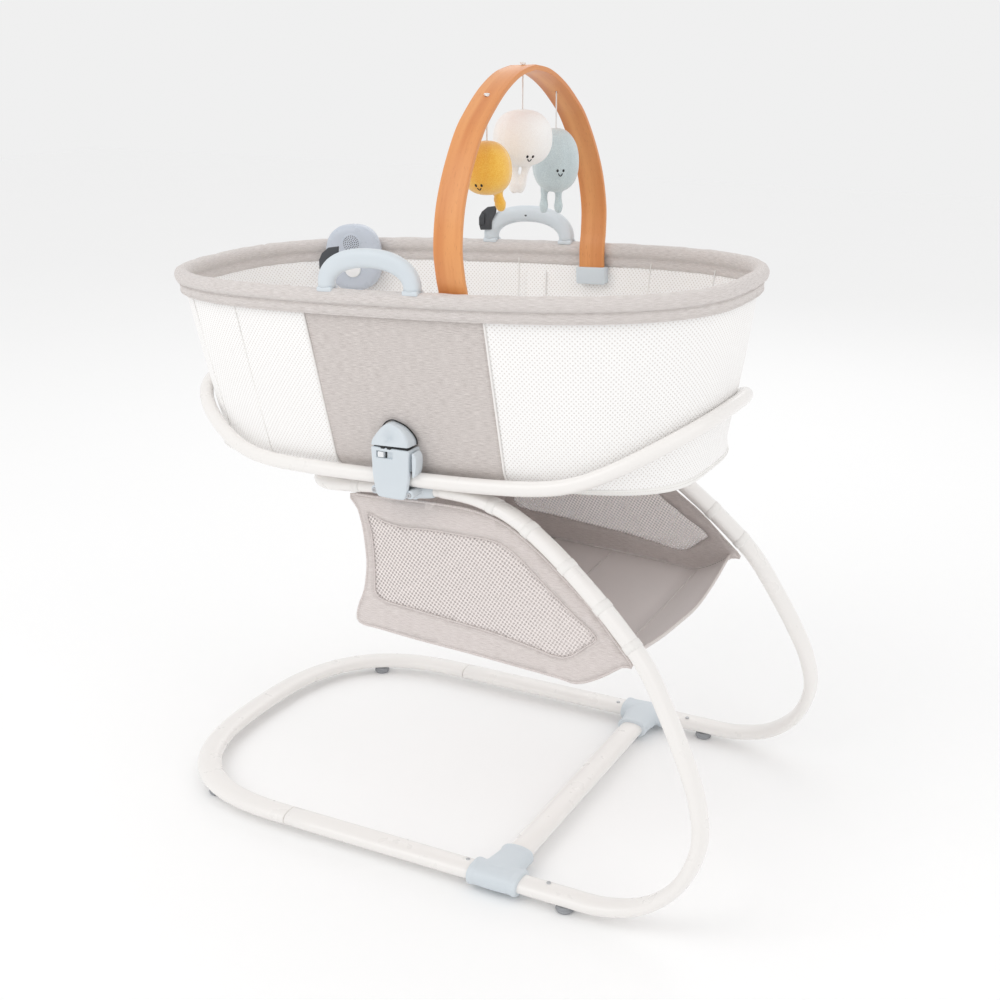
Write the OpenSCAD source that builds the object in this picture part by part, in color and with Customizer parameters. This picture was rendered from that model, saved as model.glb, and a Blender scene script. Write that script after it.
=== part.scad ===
// Baby cradle: bassinet on a rocking ring, held by a C-shaped tube stand with a storage basket.
// +X points to the foot end, +Z up. The origin is on the floor, at the middle of the footprint.
// Heights below are measured from a base line that lies floor_z under the floor.

/* [Overall] */
// Rocking axis and middle of the bassinet, measured along X from the origin
cradle_x = -19.76; // [-40:0.01:0]
// Height of the bassinet rim above the base line
rim_z = 822; // [800:1:850]
// Tilt of the ring and bassinet at rest, foot end up
rest_tilt = 2.4; // [0:0.1:3]

/* [Bassinet] */
// Half length of the rim centre line
rim_a = 434; // [420:1:440]
// Half width of the rim centre line
rim_b = 238; // [232:1:242]
// Half length of the bottom outline
bottom_a = 384; // [376:1:388]
// Half width of the bottom outline
bottom_b = 174; // [160:1:176]
// Radius of the padded roll on the rim
roll_r = 11; // [10:0.5:12]
// Thickness of the fabric walls
wall_t = 3; // [2:0.5:4]
// Thickness of the mattress
mattress_t = 40; // [30:1:50]

/* [Rocking ring] */
// Half length of the ring centre line
ring_a = 416; // [414:1:424]
// Half width of the ring centre line
ring_b = 221.5; // [221:0.5:223]
// Radius of the ring tube
ring_r = 10.5; // [9:0.5:10.5]
// Height of the ring at the hubs
ring_z = 573; // [570:1:576]
// Slope of the ring towards both ends
ring_slope = 0.55; // [0.5:0.01:0.6]

/* [Stand] */
// Half distance between the floor rails
rail_y = 280; // [270:1:300]
// Height of the floor rail centre line
rail_z = 28; // [26:1:32]
// Half width of the flat-oval tube
tube_a = 19; // [17:0.5:20]
// Half height of the flat-oval tube
tube_b = 10.5; // [9:0.5:10.5]
// Front end of the floor frame, from the cradle middle
base_end = -413; // [-420:1:-395]
// Floor connector position, from the cradle middle
hub_u = 197; // [190:1:205]
// Inward lean of the side frames per millimetre of height
lean = 0.155; // [0.15:0.001:0.16]

/* [Toy arch] */
// Arch position, from the cradle middle
arch_u = 113; // [100:1:130]
// Width of the wooden band
arch_w = 40; // [34:1:44]
// Thickness of the wooden band
arch_t = 7; // [6:0.5:8]

/* [Hidden] */
$fn = 48;

white_paint = [0.95, 0.95, 0.94];
pale_blue = [0.80, 0.85, 0.88];
soft_violet = [0.74, 0.78, 0.84];
grey_fabric = [0.78, 0.76, 0.74];
white_mesh = [0.96, 0.96, 0.95];
beech = [0.90, 0.66, 0.44];
dark_grey = [0.35, 0.36, 0.38];

seam_u = -155.5;               // seam between front tube and side rails
floor_z = 6.5;                 // height of the floor above the base line
pivot_u = 13;                  // rocking pin, from the cradle middle
pivot_z = 598;
pivot_r = 5;
panel_bottom = [-94, 167];     // side panel edges at the bottom and the top
panel_top = [-116, 160];
handle_u = -4;
soother_u = -305;
clamp_y = 198;                 // stand tube at the clamps
clamp_slope = 0.0935;          // the stand tube rises towards the foot end at the clamps
rear_r = 9.5;
hoop_flat = 267;               // length of the level stretch of the ring on each side

// ---------- functions ----------
function unit(v) = v / norm(v);
function sgn_pow(v, e) = (v < 0 ? -1 : 1) * pow(abs(v), e);
function oval_point(a, b, n, t) = [a * sgn_pow(cos(t), 2 / n), b * sgn_pow(sin(t), 2 / n)];
function oval(a, b, n, steps) = [for (i = [0 : steps - 1]) oval_point(a, b, n, 360 * i / steps)];
function curve_point(p0, p1, p2, p3, t) =
    0.5 * (2 * p1 + (p2 - p0) * t + (2 * p0 - 5 * p1 + 4 * p2 - p3) * t * t
    + (3 * p1 - p0 - 3 * p2 + p3) * t * t * t);
function curve(p, m) = concat(
    [for (i = [0 : len(p) - 2]) for (k = [0 : m - 1])
        curve_point(p[max(i - 1, 0)], p[i], p[i + 1], p[min(i + 2, len(p) - 1)], k / m)],
    [p[len(p) - 1]]);
function ramp(u, k) = u > 3 * k ? u : k * ln(1 + exp(u / k));
function ring_height(u) = ring_z + ring_slope * ramp(abs(u) - hoop_flat, 25);
function side_y(z) = rail_y - lean * (z - rail_z);
function tilt_point(p) = let (c = cos(rest_tilt), s = sin(rest_tilt),
    dx = p[0] - cradle_x - pivot_u, dz = p[2] - pivot_z)
    [cradle_x + pivot_u + c * dx - s * dz, p[1], pivot_z - floor_z + s * dx + c * dz];
function wall_b(z) = z < 590 ? bottom_b + (207.5 - bottom_b) * (z - 560) / 30
    : 207.5 + (rim_b - 207.5) * (z - 590) / (rim_z - 590);
function wall_a(z) = z < 590 ? bottom_a + (390 - bottom_a) * (z - 560) / 30
    : 390 + (rim_a - 390) * (z - 590) / (rim_z - 590);
function wall_n(z) = z < 590 ? 4 - 1.2 * (z - 560) / 30 : 2.8;
function angle_at(x, a, n) = acos((x < 0 ? -1 : 1) * pow(min(1, abs(x) / a), n / 2));

// ---------- shape helpers ----------
module tilted() {
    translate([cradle_x + pivot_u, 0, pivot_z - floor_z])
        rotate([0, -rest_tilt, 0])
            translate([-pivot_u, 0, -pivot_z])
                children();
}

module at_cradle() {
    translate([cradle_x, 0, -floor_z]) children();
}

module side_far(far) {
    if (far) mirror([0, 1, 0]) children();
    else children();
}

// Sweep of an oval along a path; wide gives the direction of the oval's long axis at each point
module sweep(path, wide, a, b, closed = false, sides = 16, n = 2.3) {
    count = len(path);
    last = count - 1;
    points = [for (i = [0 : last])
        let (before = closed ? path[(i + last) % count] : path[max(i - 1, 0)],
            after = closed ? path[(i + 1) % count] : path[min(i + 1, last)],
            t = unit(after - before),
            w = unit(wide[i] - (wide[i] * t) * t),
            h = cross(t, w))
        for (j = [0 : sides - 1])
            let (q = oval_point(a, b, n, 360 * j / sides)) path[i] + q[0] * w + q[1] * h];
    rows = closed ? last : last - 1;
    skin = [for (i = [0 : rows]) for (j = [0 : sides - 1])
        let (k = (i + 1) % count, m = (j + 1) % sides)
        each [[i * sides + j, k * sides + j, k * sides + m], [i * sides + j, k * sides + m, i * sides + m]]];
    caps = closed ? [] : [[for (j = [0 : sides - 1]) j], [for (j = [sides - 1 : -1 : 0]) last * sides + j]];
    polyhedron(points, concat(skin, caps), convexity = 6);
}

// Sweep of a profile of [outward, up] points round the closed rim outline
module rim_sweep(profile, steps = 88) {
    sides = len(profile);
    path = [for (p = oval(rim_a, rim_b, 2.8, steps)) [p[0], p[1], 0]];
    points = [for (i = [0 : steps - 1])
        let (t = unit(path[(i + 1) % steps] - path[(i + steps - 1) % steps]), out = [t[1], -t[0], 0])
        for (q = profile) path[i] + q[0] * out + [0, 0, q[1]]];
    skin = [for (i = [0 : steps - 1]) for (j = [0 : sides - 1])
        let (k = (i + 1) % steps, m = (j + 1) % sides)
        each [[i * sides + j, k * sides + m, k * sides + j], [i * sides + j, i * sides + m, k * sides + m]]];
    polyhedron(points, skin, convexity = 6);
}

// Piece of the bassinet wall between two edges, given as signed angles at each level
module wall_piece(levels, starts, ends, steps) {
    rows = len(levels);
    cols = steps + 1;
    function pt(r, c, inner) = let (z = levels[r], t = starts[r] + (ends[r] - starts[r]) * c / steps,
        p = oval_point(wall_a(z) - inner, wall_b(z) - inner, wall_n(z), t)) [p[0], p[1], z];
    outer = [for (r = [0 : rows - 1]) for (c = [0 : steps]) pt(r, c, 0)];
    inner = [for (r = [0 : rows - 1]) for (c = [0 : steps]) pt(r, c, wall_t)];
    half = rows * cols;
    function quad(a, b, c, d) = [[a, b, c], [a, c, d]];
    faces = concat(
        [for (r = [0 : rows - 2]) for (c = [0 : steps - 1]) each quad(r * cols + c, (r + 1) * cols + c,
            (r + 1) * cols + c + 1, r * cols + c + 1)],
        [for (r = [0 : rows - 2]) for (c = [0 : steps - 1]) each quad(half + r * cols + c,
            half + r * cols + c + 1, half + (r + 1) * cols + c + 1, half + (r + 1) * cols + c)],
        [for (c = [0 : steps - 1]) each quad(c, c + 1, half + c + 1, half + c)],
        [for (c = [0 : steps - 1]) let (o = (rows - 1) * cols) each quad(o + c, half + o + c,
            half + o + c + 1, o + c + 1)],
        [for (r = [0 : rows - 2]) each quad(r * cols, half + r * cols, half + (r + 1) * cols, (r + 1) * cols)],
        [for (r = [0 : rows - 2]) let (e = steps) each quad(r * cols + e, (r + 1) * cols + e,
            half + (r + 1) * cols + e, half + r * cols + e)]);
    polyhedron(concat(outer, inner), faces, convexity = 6);
}

module y_cylinder(r, y0, y1) {
    translate([0, y0, 0]) rotate([-90, 0, 0]) cylinder(r = r, h = y1 - y0);
}

// ---------- stand ----------
bend_l = 254;                  // length of the rounded front end
bend_e = 0.74;                 // squareness of its corners
base_half = concat(
    [for (t = [0 : 7.5 : 90]) [base_end + bend_l - bend_l * sgn_pow(cos(t), bend_e),
        rail_y * sgn_pow(sin(t), bend_e), rail_z]],
    [[seam_u, rail_y, rail_z]]);
base_path = concat([for (i = [len(base_half) - 1 : -1 : 1]) [base_half[i][0], -base_half[i][1], rail_z]],
    base_half);
base_wide = [for (i = [0 : len(base_path) - 1])
    cross(unit(base_path[min(i + 1, len(base_path) - 1)] - base_path[max(i - 1, 0)]), [0, 0, 1])];

// Centre line of a side leg as [along X, height]
leg_route = [[hub_u, 28], [240, 28], [300, 28], [360, 30], [418, 49], [462, 90], [483, 148], [476, 203],
    [455, 254], [424, 312], [388, 370], [343, 417], [295, 459], [235, 505], [180, 537], [125, 553], [72, 556]];
leg_flat = curve(leg_route, 3);
leg_path = [for (p = leg_flat) [p[0], -side_y(p[1]), p[1]]];
leg_wide = [for (p = leg_flat) [0, 1, -lean * min(1, (p[1] - rail_z) / 40)]];

// Closed end of the upper stand tube under the head end
rear_half = [[70, -198.2, 555.8], [30, -198, 552.2], [-15, -198, 548], [-60, -198, 543.7],
    [-95, -197, 539.5], [-125, -188, 535], [-150, -168, 531], [-168, -138, 527.5], [-176, -100, 525.5],
    [-179, -50, 525], [-179, 0, 525]];
rear_path = concat(curve(rear_half, 2), [for (i = [2 * len(rear_half) - 3 : -1 : 0])
    let (p = curve(rear_half, 2)[i]) [p[0], -p[1], p[2]]]);

module base_front_tube() {
    color(white_paint) at_cradle() sweep(base_path, base_wide, tube_a, tube_b);
}

module side_rail(far) {
    color(white_paint) side_far(far) at_cradle()
        translate([seam_u + 0.2, -rail_y, rail_z])
            rotate([90, 0, 90])
                linear_extrude(hub_u - seam_u - 0.4)
                    polygon(oval(tube_a, tube_b, 2.3, 32));
}

module leg_tube(far) {
    color(white_paint) side_far(far) at_cradle() sweep(leg_path, leg_wide, tube_a - 1, tube_b - 0.5);
}

module rear_tube() {
    color(white_paint) at_cradle()
        sweep(rear_path, [for (p = rear_path) [0, 0, 1]], rear_r, rear_r, n = 2);
}

module crossbar() {
    reach = rail_y - tube_a - 6;
    color(white_paint) at_cradle()
        translate([hub_u, reach, rail_z])
            rotate([90, 0, 0])
                linear_extrude(2 * reach)
                    polygon(oval(tube_a, tube_b, 2.3, 32));
}

module floor_hub(far) {
    skin = 3.5;
    color(pale_blue) side_far(far) at_cradle() translate([hub_u, -rail_y, rail_z]) {
        difference() {
            union() {
                translate([-39, 0, 0]) rotate([90, 0, 90]) linear_extrude(78)
                    polygon(oval(tube_a + skin, tube_b + skin, 2.6, 32));
                translate([0, 66, 0]) rotate([90, 0, 0]) linear_extrude(66)
                    polygon(oval(tube_a + 6, tube_b + skin - 0.5, 2.6, 32));
            }
            translate([-40, 0, 0]) rotate([90, 0, 90]) linear_extrude(80)
                polygon(oval(tube_a + 0.3, tube_b + 0.3, 2.3, 32));
            translate([0, 67, 0]) rotate([90, 0, 0]) linear_extrude(67 - tube_a - 5.5)
                polygon(oval(tube_a + 0.3, tube_b + 0.3, 2.3, 32));
        }
    }
}

foot_spots = [[-318, -247], [-318, 247], [302, -rail_y], [302, rail_y]];

module foot_pads() {
    top = rail_z - tube_b;
    color(dark_grey) at_cradle() for (p = foot_spots) translate([p[0], p[1], floor_z]) {
        cylinder(r1 = 11, r2 = 13, h = 3);
        translate([0, 0, 3]) cylinder(r = 13, h = top - floor_z - 3 - 0.4);
    }
}

module frame_screws() {
    color("silver") at_cradle() for (u = [hub_u - 50, hub_u + 77]) for (y = [-rail_y, rail_y])
        translate([u, y + (y < 0 ? 6 : -6), rail_z + tube_b + 0.05]) cylinder(r = 3, h = 1.6);
}

// ---------- stand clamps with their covers ----------
cover_front = -241;
cover_half_w = 30;
cover_z0 = 548;
cover_top = 619;
ear_x = 27.5;
ear_z = 556;

module cover_outline(inset) {
    w = cover_half_w - inset;
    translate([-w, cover_z0 + 10]) square([2 * w, cover_top - cover_z0 - 10 - inset]);
    translate([-w + 8, cover_z0 + inset]) square([2 * w - 16, 20]);
    for (x = [-w + 10, w - 10]) translate([x, cover_z0 + 10]) circle(10 - inset);
}

module at_ears() {
    for (x = [-ear_x, ear_x]) translate([x, 0, ear_z]) children();
}

module stand_cover(far) {
    color(pale_blue) side_far(far) at_cradle() translate([pivot_u, 0, 0]) difference() {
        union() {
            translate([0, -209.8, 0]) rotate([90, 0, 0]) linear_extrude(-209.8 - cover_front) cover_outline(0);
            at_ears() y_cylinder(7, cover_front, cover_front + 6);
            at_ears() y_cylinder(3.7, cover_front, -209.8);
        }
        intersection() {
            translate([0, -200, 0]) rotate([90, 0, 0]) linear_extrude(-200 - cover_front - 5) cover_outline(3);
            union() {
                translate([-23.4, -240, cover_z0]) cube([46.8, 40, 80]);
                translate([-40, -240, 562]) cube([80, 40, 80]);
            }
        }
        // room for the leaning bassinet wall, and for the ring tube as it rocks
        translate([-40, -214, 589]) cube([80, 10, 40]);
        translate([-40, -234.5, 560.2]) cube([80, 40, 29.8]);
        // open top, where the ring hub and the feet of the latch cap stand
        translate([-22, -233.5, 589]) cube([44, 25, 40]);
        // window of the lock slider, and hole of the release button's stem
        translate([-22, -245, 605]) cube([26, 12, 9]);
        translate([20, -228, 600]) rotate([0, 90, 0]) cylinder(r = 3.3, h = 20);
        at_ears() y_cylinder(1.6, -250, -200);
    }
}

module tube_clamp(far) {
    block_front = -209.7;
    color(pale_blue) side_far(far) at_cradle() difference() {
        translate([pivot_u - 33, block_front, 538]) cube([66, 23.2, 25.5]);
        translate([pivot_u, -clamp_y, 552.2 - (30 - pivot_u) * clamp_slope])
            rotate([0, 90 - atan(clamp_slope), 0]) translate([0, 0, -60]) cylinder(r = rear_r + 0.1, h = 120);
        translate([pivot_u, 0, 0]) at_ears() y_cylinder(1.55, block_front - 1, block_front + 4);
    }
}

module cover_screws() {
    color("silver") for (far = [false, true]) side_far(far) at_cradle()
        translate([pivot_u, 0, 0]) at_ears() {
            y_cylinder(1.5, cover_front - 0.2, -207.7);
            y_cylinder(3.2, cover_front - 1.4, cover_front - 0.1);
        }
}

module pivot_pins() {
    color("silver") for (far = [false, true]) side_far(far) at_cradle()
        translate([pivot_u, 0, pivot_z]) y_cylinder(pivot_r, -236, -214.5);
}

module lock_slider(far) {
    color(pale_blue) side_far(far) at_cradle() translate([pivot_u, 0, 0]) {
        translate([-18, -241.6, 605.4]) cube([8, 6, 8.2]);
        translate([-24, -235.7, 604.2]) cube([22, 3, 11]);
    }
}

module release_button(far) {
    color(pale_blue) side_far(far) at_cradle() translate([pivot_u, 0, 0]) {
        translate([22.5, -228, 600]) rotate([0, 90, 0]) cylinder(r = 3, h = 10);
        translate([33.4, 0, 0]) union() {
            translate([0, -236, 596]) cube([3, 16, 13]);
            for (z = [596, 609]) translate([0, -228, z]) rotate([0, 90, 0]) cylinder(r = 8, h = 3);
            translate([-1, -228, 600]) rotate([0, 90, 0]) cylinder(r = 3, h = 2);
        }
    }
}

// ---------- rocking ring ----------
module ring_half(from, to) {
    steps = 44;
    path = [for (i = [0 : steps]) let (t = from + (to - from) * i / steps,
        p = oval_point(ring_a, ring_b, 2.8, t)) [p[0], p[1], ring_height(p[0])]];
    sweep(path, [for (p = path) [0, 0, 1]], ring_r, ring_r, n = 2);
}

ring_split = angle_at(pivot_u, ring_a, 2.8);

module ring_head_tube() {
    color(white_paint) tilted() ring_half(ring_split + 0.03, 360 - ring_split - 0.03);
}

module ring_foot_tube() {
    color(white_paint) tilted() ring_half(-ring_split + 0.03, ring_split - 0.03);
}

module ring_hub(far) {
    color(pale_blue) side_far(far) tilted() translate([pivot_u, 0, 0]) difference() {
        union() {
            translate([-18, -231.5, 559.5]) cube([36, 21.3, 30]);
            translate([-18, -231.5, 589]) cube([36, 18, 28]);
        }
        translate([-30, -ring_b, ring_z]) rotate([0, 90, 0]) cylinder(r = ring_r + 0.1, h = 60);
        translate([0, 0, pivot_z]) y_cylinder(pivot_r + 0.05, -240, -205);
        for (x = [-15.4, 8.6]) translate([x, -226.4, 588]) cube([6.8, 7.8, 40]);
    }
}

// ---------- bassinet ----------
levels = [560, 575, 590, 645, 700, 750, 797.6];

function edge_x(z, side) = panel_bottom[side] + (panel_top[side] - panel_bottom[side]) * (z - 560) / 252;
function edge_angle(z, side) = angle_at(edge_x(z, side), wall_a(z), wall_n(z));
left_angles = [for (z = levels) edge_angle(z, 0)];
right_angles = [for (z = levels) edge_angle(z, 1)];

module side_panel(far) {
    color(grey_fabric) side_far(far) tilted() difference() {
        wall_piece(levels, -left_angles, -right_angles, 12);
        translate([pivot_u - 12, -225, 626]) cube([24, 40, 22]);
    }
}

module mesh_head() {
    color(white_mesh) tilted() wall_piece(levels, left_angles, [for (a = left_angles) 360 - a], 36);
}

module mesh_foot() {
    color(white_mesh) tilted() wall_piece(levels, -right_angles, right_angles, 36);
}

module rim_tube() {
    profile = [for (i = [0 : 9]) 6 * [cos(36 * i), sin(36 * i)]];
    color("silver") tilted() translate([0, 0, rim_z]) rim_sweep(profile, 72);
}

module rim_band() {
    low = roll_r * cos(60);
    roll = [for (a = [-45 : 30 : 225]) roll_r * [cos(a), sin(a)]];
    profile = concat([[3.5, -24], [3.5, -low - 3]], roll, [[-6.5, -low - 3], [-6.5, -24]]);
    hollow = [for (i = [0 : 9]) 6.4 * [cos(36 * i), sin(36 * i)]];
    color(grey_fabric) tilted() translate([0, 0, rim_z]) difference() {
        rim_sweep(profile, 72);
        rim_sweep(hollow, 72);
    }
}

module base_board() {
    color("burlywood") tilted() translate([0, 0, 561])
        linear_extrude(6) polygon(oval(bottom_a - wall_t - 0.6, bottom_b - wall_t - 0.6, 4, 96));
}

module mattress() {
    color("white") tilted() translate([0, 0, 567.2])
        linear_extrude(mattress_t) polygon(oval(bottom_a - 9, bottom_b - 7, 4, 96));
}

wall_angle = atan((rim_b - 207.5) / (rim_z - 590));

module strut(far) {
    color("silver") side_far(far) tilted() translate([pivot_u, -wall_b(600) + wall_t + 0.6, 600])
        rotate([wall_angle, 0, 0]) translate([-15, 0, 0]) cube([30, 4, 188]);
}

cap_h = 30;

module cap_outline() {
    intersection() {
        translate([-cover_half_w, 0]) square([2 * cover_half_w, cap_h]);
        polygon([for (t = [0 : 10 : 180]) oval_point(cover_half_w, cap_h, 2.5, t)]);
    }
}

module latch_cap(far) {
    color(pale_blue) side_far(far) tilted() translate([pivot_u, 0, 0]) {
        translate([0, -217.3, 622]) rotate([90, 0, 0]) linear_extrude(-217.3 - cover_front) cap_outline();
        translate([-10, -217.4, 629]) cube([20, 5.6, 16]);
        for (x = [-15, 9]) translate([x, -226, 590]) cube([6, 7, 32.1]);
    }
}

handle_w = 157;
handle_h = 50;
grip_w = 55.5;                 // half width of the finger opening

module handle_outline() {
    difference() {
        polygon([for (t = [0 : 7.5 : 180]) oval_point(handle_w / 2, handle_h, 2.7, t)]);
        polygon(concat([for (t = [0 : 10 : 180]) oval_point(grip_w, handle_h - 27, 2.4, t)],
            [[-grip_w, -5], [grip_w, -5]]));
    }
}

handle_y = rim_b - 1;

module handle(far) {
    color(pale_blue) side_far(far) tilted() translate([handle_u, -handle_y, rim_z + roll_r + 0.4]) {
        translate([0, 8, 4]) rotate([90, 0, 0]) linear_extrude(16) handle_outline();
        translate([-handle_w / 2, -10, 0]) cube([handle_w, 20, 4]);
    }
}

module handle_clips() {
    color(dark_grey) for (far = [false, true]) side_far(far) tilted()
        translate([handle_u - handle_w / 2, -handle_y + 12.3, rim_z + roll_r + 0.4])
            rotate([90, 0, 0]) linear_extrude(4)
                polygon([[-3, 14], [-3, 34], [3, 44], [12, 51], [30, 53], [21, 14]]);
}

module handle_screws() {
    color("silver") for (far = [false, true]) side_far(far) tilted()
        for (x = [-1, 1]) translate([handle_u + x * (handle_w / 2 - 14), -handle_y, rim_z + roll_r + 8])
            y_cylinder(3, 8, 9.2);
}

// ---------- toy arch ----------
arch_half = [[-218, 778], [-218, 805], [-220, 828], [-226, 853], [-229, 890], [-218, 938], [-195, 982],
    [-162, 1025], [-133, 1049.5], [-91, 1076], [-45, 1094.5], [0, 1101.5]];
arch_curve = concat(curve(arch_half, 4), [for (i = [4 * (len(arch_half) - 1) - 1 : -1 : 0])
    let (p = curve(arch_half, 4)[i]) [-p[0], p[1]]]);

function arch_normal(i) = let (t = unit(arch_curve[min(i + 1, len(arch_curve) - 1)]
    - arch_curve[max(i - 1, 0)])) [-t[1], t[0]];

toy_y = [-108, 0, 105];
toy_hole_z = [1066, 1101.5, 1068];

module toy_arch() {
    outer = [for (i = [0 : len(arch_curve) - 1]) arch_curve[i] + arch_t / 2 * arch_normal(i)];
    inner = [for (i = [len(arch_curve) - 1 : -1 : 0]) arch_curve[i] - arch_t / 2 * arch_normal(i)];
    color(beech) tilted() difference() {
        translate([arch_u - arch_w / 2, 0, 0]) rotate([90, 0, 90])
            linear_extrude(arch_w) polygon(concat(outer, inner));
        for (i = [0 : 2]) translate([arch_u, toy_y[i], toy_hole_z[i] - 20]) cylinder(r = 2.4, h = 40);
    }
}

module arch_socket(far) {
    color(pale_blue) side_far(far) tilted() translate([arch_u, 0, 0]) difference() {
        translate([-arch_w / 2 - 4, -225.5, 772]) cube([arch_w + 8, 15, 26]);
        translate([-arch_w / 2 - 0.4, -218 - arch_t / 2 - 0.5, 777.6]) cube([arch_w + 0.8, arch_t + 1, 40]);
    }
}

// ---------- toys: each hangs straight down from its hole ----------
// half width, half height and depth of the drop from the hole to the body's top
toy_size = [[34, 35], [42, 38], [34, 45]];
toy_top = [1017, 1050, 1018];
legs = [[[6, -8], [14, 4]], [[-9, -6], [9, 4]], [[-10, -2], [10, 2]]];
leg_drop = [16, 36, 30];
string_r = 1;

function hole_point(i) = tilt_point([cradle_x + arch_u, toy_y[i], toy_hole_z[i]]);

module toy(i) {
    p = hole_point(i);
    r = toy_size[i][0];
    h = toy_size[i][1];
    translate([p[0], p[1], toy_top[i] - floor_z - h]) {
        rotate_extrude() intersection() {
            polygon(oval(r, h, 2.3, 40));
            translate([0, -h]) square([r, 2 * h]);
        }
        for (q = legs[i]) translate([q[0], q[1], -h - leg_drop[i] + 5]) {
            cylinder(r = 5, h = leg_drop[i] + 8);
            sphere(r = 5);
        }
    }
}

module string(i) {
    p = hole_point(i);
    low = toy_top[i] - floor_z + 0.1;
    color("white") translate([p[0], p[1], low]) cylinder(r = string_r, h = p[2] + 7 - low);
}

// ---------- soother: a music and light unit hooked on the rim inside the head end ----------
grille_z = 8;
button_z = -13;
lens_z = -34;
soother_t = angle_at(soother_u, rim_a, 2.8);
soother_spot = oval_point(rim_a, rim_b, 2.8, soother_t);
soother_next = oval_point(rim_a, rim_b, 2.8, soother_t - 1);
soother_turn = atan2(soother_next[1] - soother_spot[1], soother_next[0] - soother_spot[0]);

module at_soother() {
    tilted() translate([soother_spot[0], soother_spot[1], rim_z]) rotate([0, 0, soother_turn]) children();
}

module soother_plate(y0, y1, inset) {
    translate([0, y1, -17]) rotate([90, 0, 0]) linear_extrude(y1 - y0)
        polygon(oval(46 - inset, 54 - inset, 2.7, 48));
}

module soother_back() {
    color(soft_violet) at_soother() {
        soother_plate(-20, -16.6, 2);
        translate([-18, -20, roll_r + 0.6]) cube([36, roll_r + 24.2, 4]);
        translate([-18, roll_r + 1.2, -8]) cube([36, 3, roll_r + 12.6]);
    }
}

module soother_front() {
    color(soft_violet) at_soother() difference() {
        soother_plate(-47, -20.1, 0);
        soother_plate(-44, -18, 3);
        translate([0, 0, grille_z]) y_cylinder(14.5, -50, -40);
        translate([0, 0, lens_z]) y_cylinder(13.3, -50, -40);
        translate([0, 0, button_z]) y_cylinder(5.3, -50, -40);
    }
}

module soother_grille() {
    color(white_paint) at_soother() translate([0, 0, grille_z]) y_cylinder(14.2, -48.5, -44.2);
}

module soother_lens() {
    color("white") at_soother() translate([0, 0, lens_z]) y_cylinder(13, -49, -44.2);
}

module soother_button() {
    color(pale_blue) at_soother() translate([0, 0, button_z]) y_cylinder(5, -49, -41);
}

// ---------- storage basket ----------
basket_outline = [[-80, 527], [-60, 498], [-51, 461], [-45, 430], [-48, 395], [-60, 362], [-54, 346],
    [-20, 343], [44, 339], [126, 336], [205, 332], [262, 329], [290, 327], [322, 341], [352, 362],
    [366, 366], [340, 393], [303, 430], [268, 457], [225, 489], [170, 521], [120, 533], [60, 534]];

// Side cloth drawn in the plane of the leaning side frame
module basket_side(far) {
    shrink = cos(atan(lean));
    color(grey_fabric) side_far(far) at_cradle() translate([0, -side_y(0) + 6, 0])
        rotate([90 - atan(lean), 0, 0]) translate([0, 0, -wall_t])
            linear_extrude(wall_t) polygon([for (p = basket_outline) [p[0], p[1] / shrink]]);
}

floor_line = [[-56, 349], [-20, 346.3], [60, 341.3], [126, 339.3], [205, 335.3], [262, 332.3], [289, 330.3],
    [321, 344.3], [350, 364.8]];

module basket_floor() {
    last = len(floor_line) - 1;
    half = function (p) side_y(p[1]) - 11;
    color(grey_fabric) at_cradle() {
        top = [for (p = floor_line) [[p[0], -half(p), p[1]], [p[0], half(p), p[1]]]];
        points = concat([for (q = top) each q], [for (q = top) each [q[0] + [0, 0, wall_t], q[1] + [0, 0, wall_t]]]);
        n = 2 * (last + 1);
        faces = concat(
            [for (i = [0 : last - 1]) each [[2 * i, 2 * i + 2, 2 * i + 3], [2 * i, 2 * i + 3, 2 * i + 1]]],
            [for (i = [0 : last - 1]) each [[n + 2 * i, n + 2 * i + 3, n + 2 * i + 2],
                [n + 2 * i, n + 2 * i + 1, n + 2 * i + 3]]],
            [for (i = [0 : last - 1]) each [[2 * i, n + 2 * i, n + 2 * i + 2], [2 * i, n + 2 * i + 2, 2 * i + 2]]],
            [for (i = [0 : last - 1]) each [[2 * i + 1, n + 2 * i + 3, n + 2 * i + 1],
                [2 * i + 1, 2 * i + 3, n + 2 * i + 3]]],
            [[0, 1, n + 1], [0, n + 1, n]],
            [[2 * last, n + 2 * last, n + 2 * last + 1], [2 * last, n + 2 * last + 1, 2 * last + 1]]);
        polyhedron(points, faces, convexity = 4);
    }
}

head_line = [[-53, 353], [-40, 395], [-38, 430], [-44, 461], [-54, 498], [-73, 527]];

module basket_head() {
    last = len(head_line) - 1;
    color(grey_fabric) at_cradle() {
        rows = [for (p = head_line) let (h = side_y(p[1]) - 12) [[p[0], -h, p[1]], [p[0], h, p[1]]]];
        points = concat([for (q = rows) each q], [for (q = rows) each [q[0] + [wall_t, 0, 0], q[1] + [wall_t, 0, 0]]]);
        n = 2 * (last + 1);
        faces = concat(
            [for (i = [0 : last - 1]) each [[2 * i, 2 * i + 3, 2 * i + 2], [2 * i, 2 * i + 1, 2 * i + 3]]],
            [for (i = [0 : last - 1]) each [[n + 2 * i, n + 2 * i + 2, n + 2 * i + 3],
                [n + 2 * i, n + 2 * i + 3, n + 2 * i + 1]]],
            [for (i = [0 : last - 1]) each [[2 * i, 2 * i + 2, n + 2 * i + 2], [2 * i, n + 2 * i + 2, n + 2 * i]]],
            [for (i = [0 : last - 1]) each [[2 * i + 1, n + 2 * i + 1, n + 2 * i + 3],
                [2 * i + 1, n + 2 * i + 3, 2 * i + 3]]],
            [[0, n, n + 1], [0, n + 1, 1]],
            [[2 * last, 2 * last + 1, n + 2 * last + 1], [2 * last, n + 2 * last + 1, n + 2 * last]]);
        polyhedron(points, faces, convexity = 4);
    }
}

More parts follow.
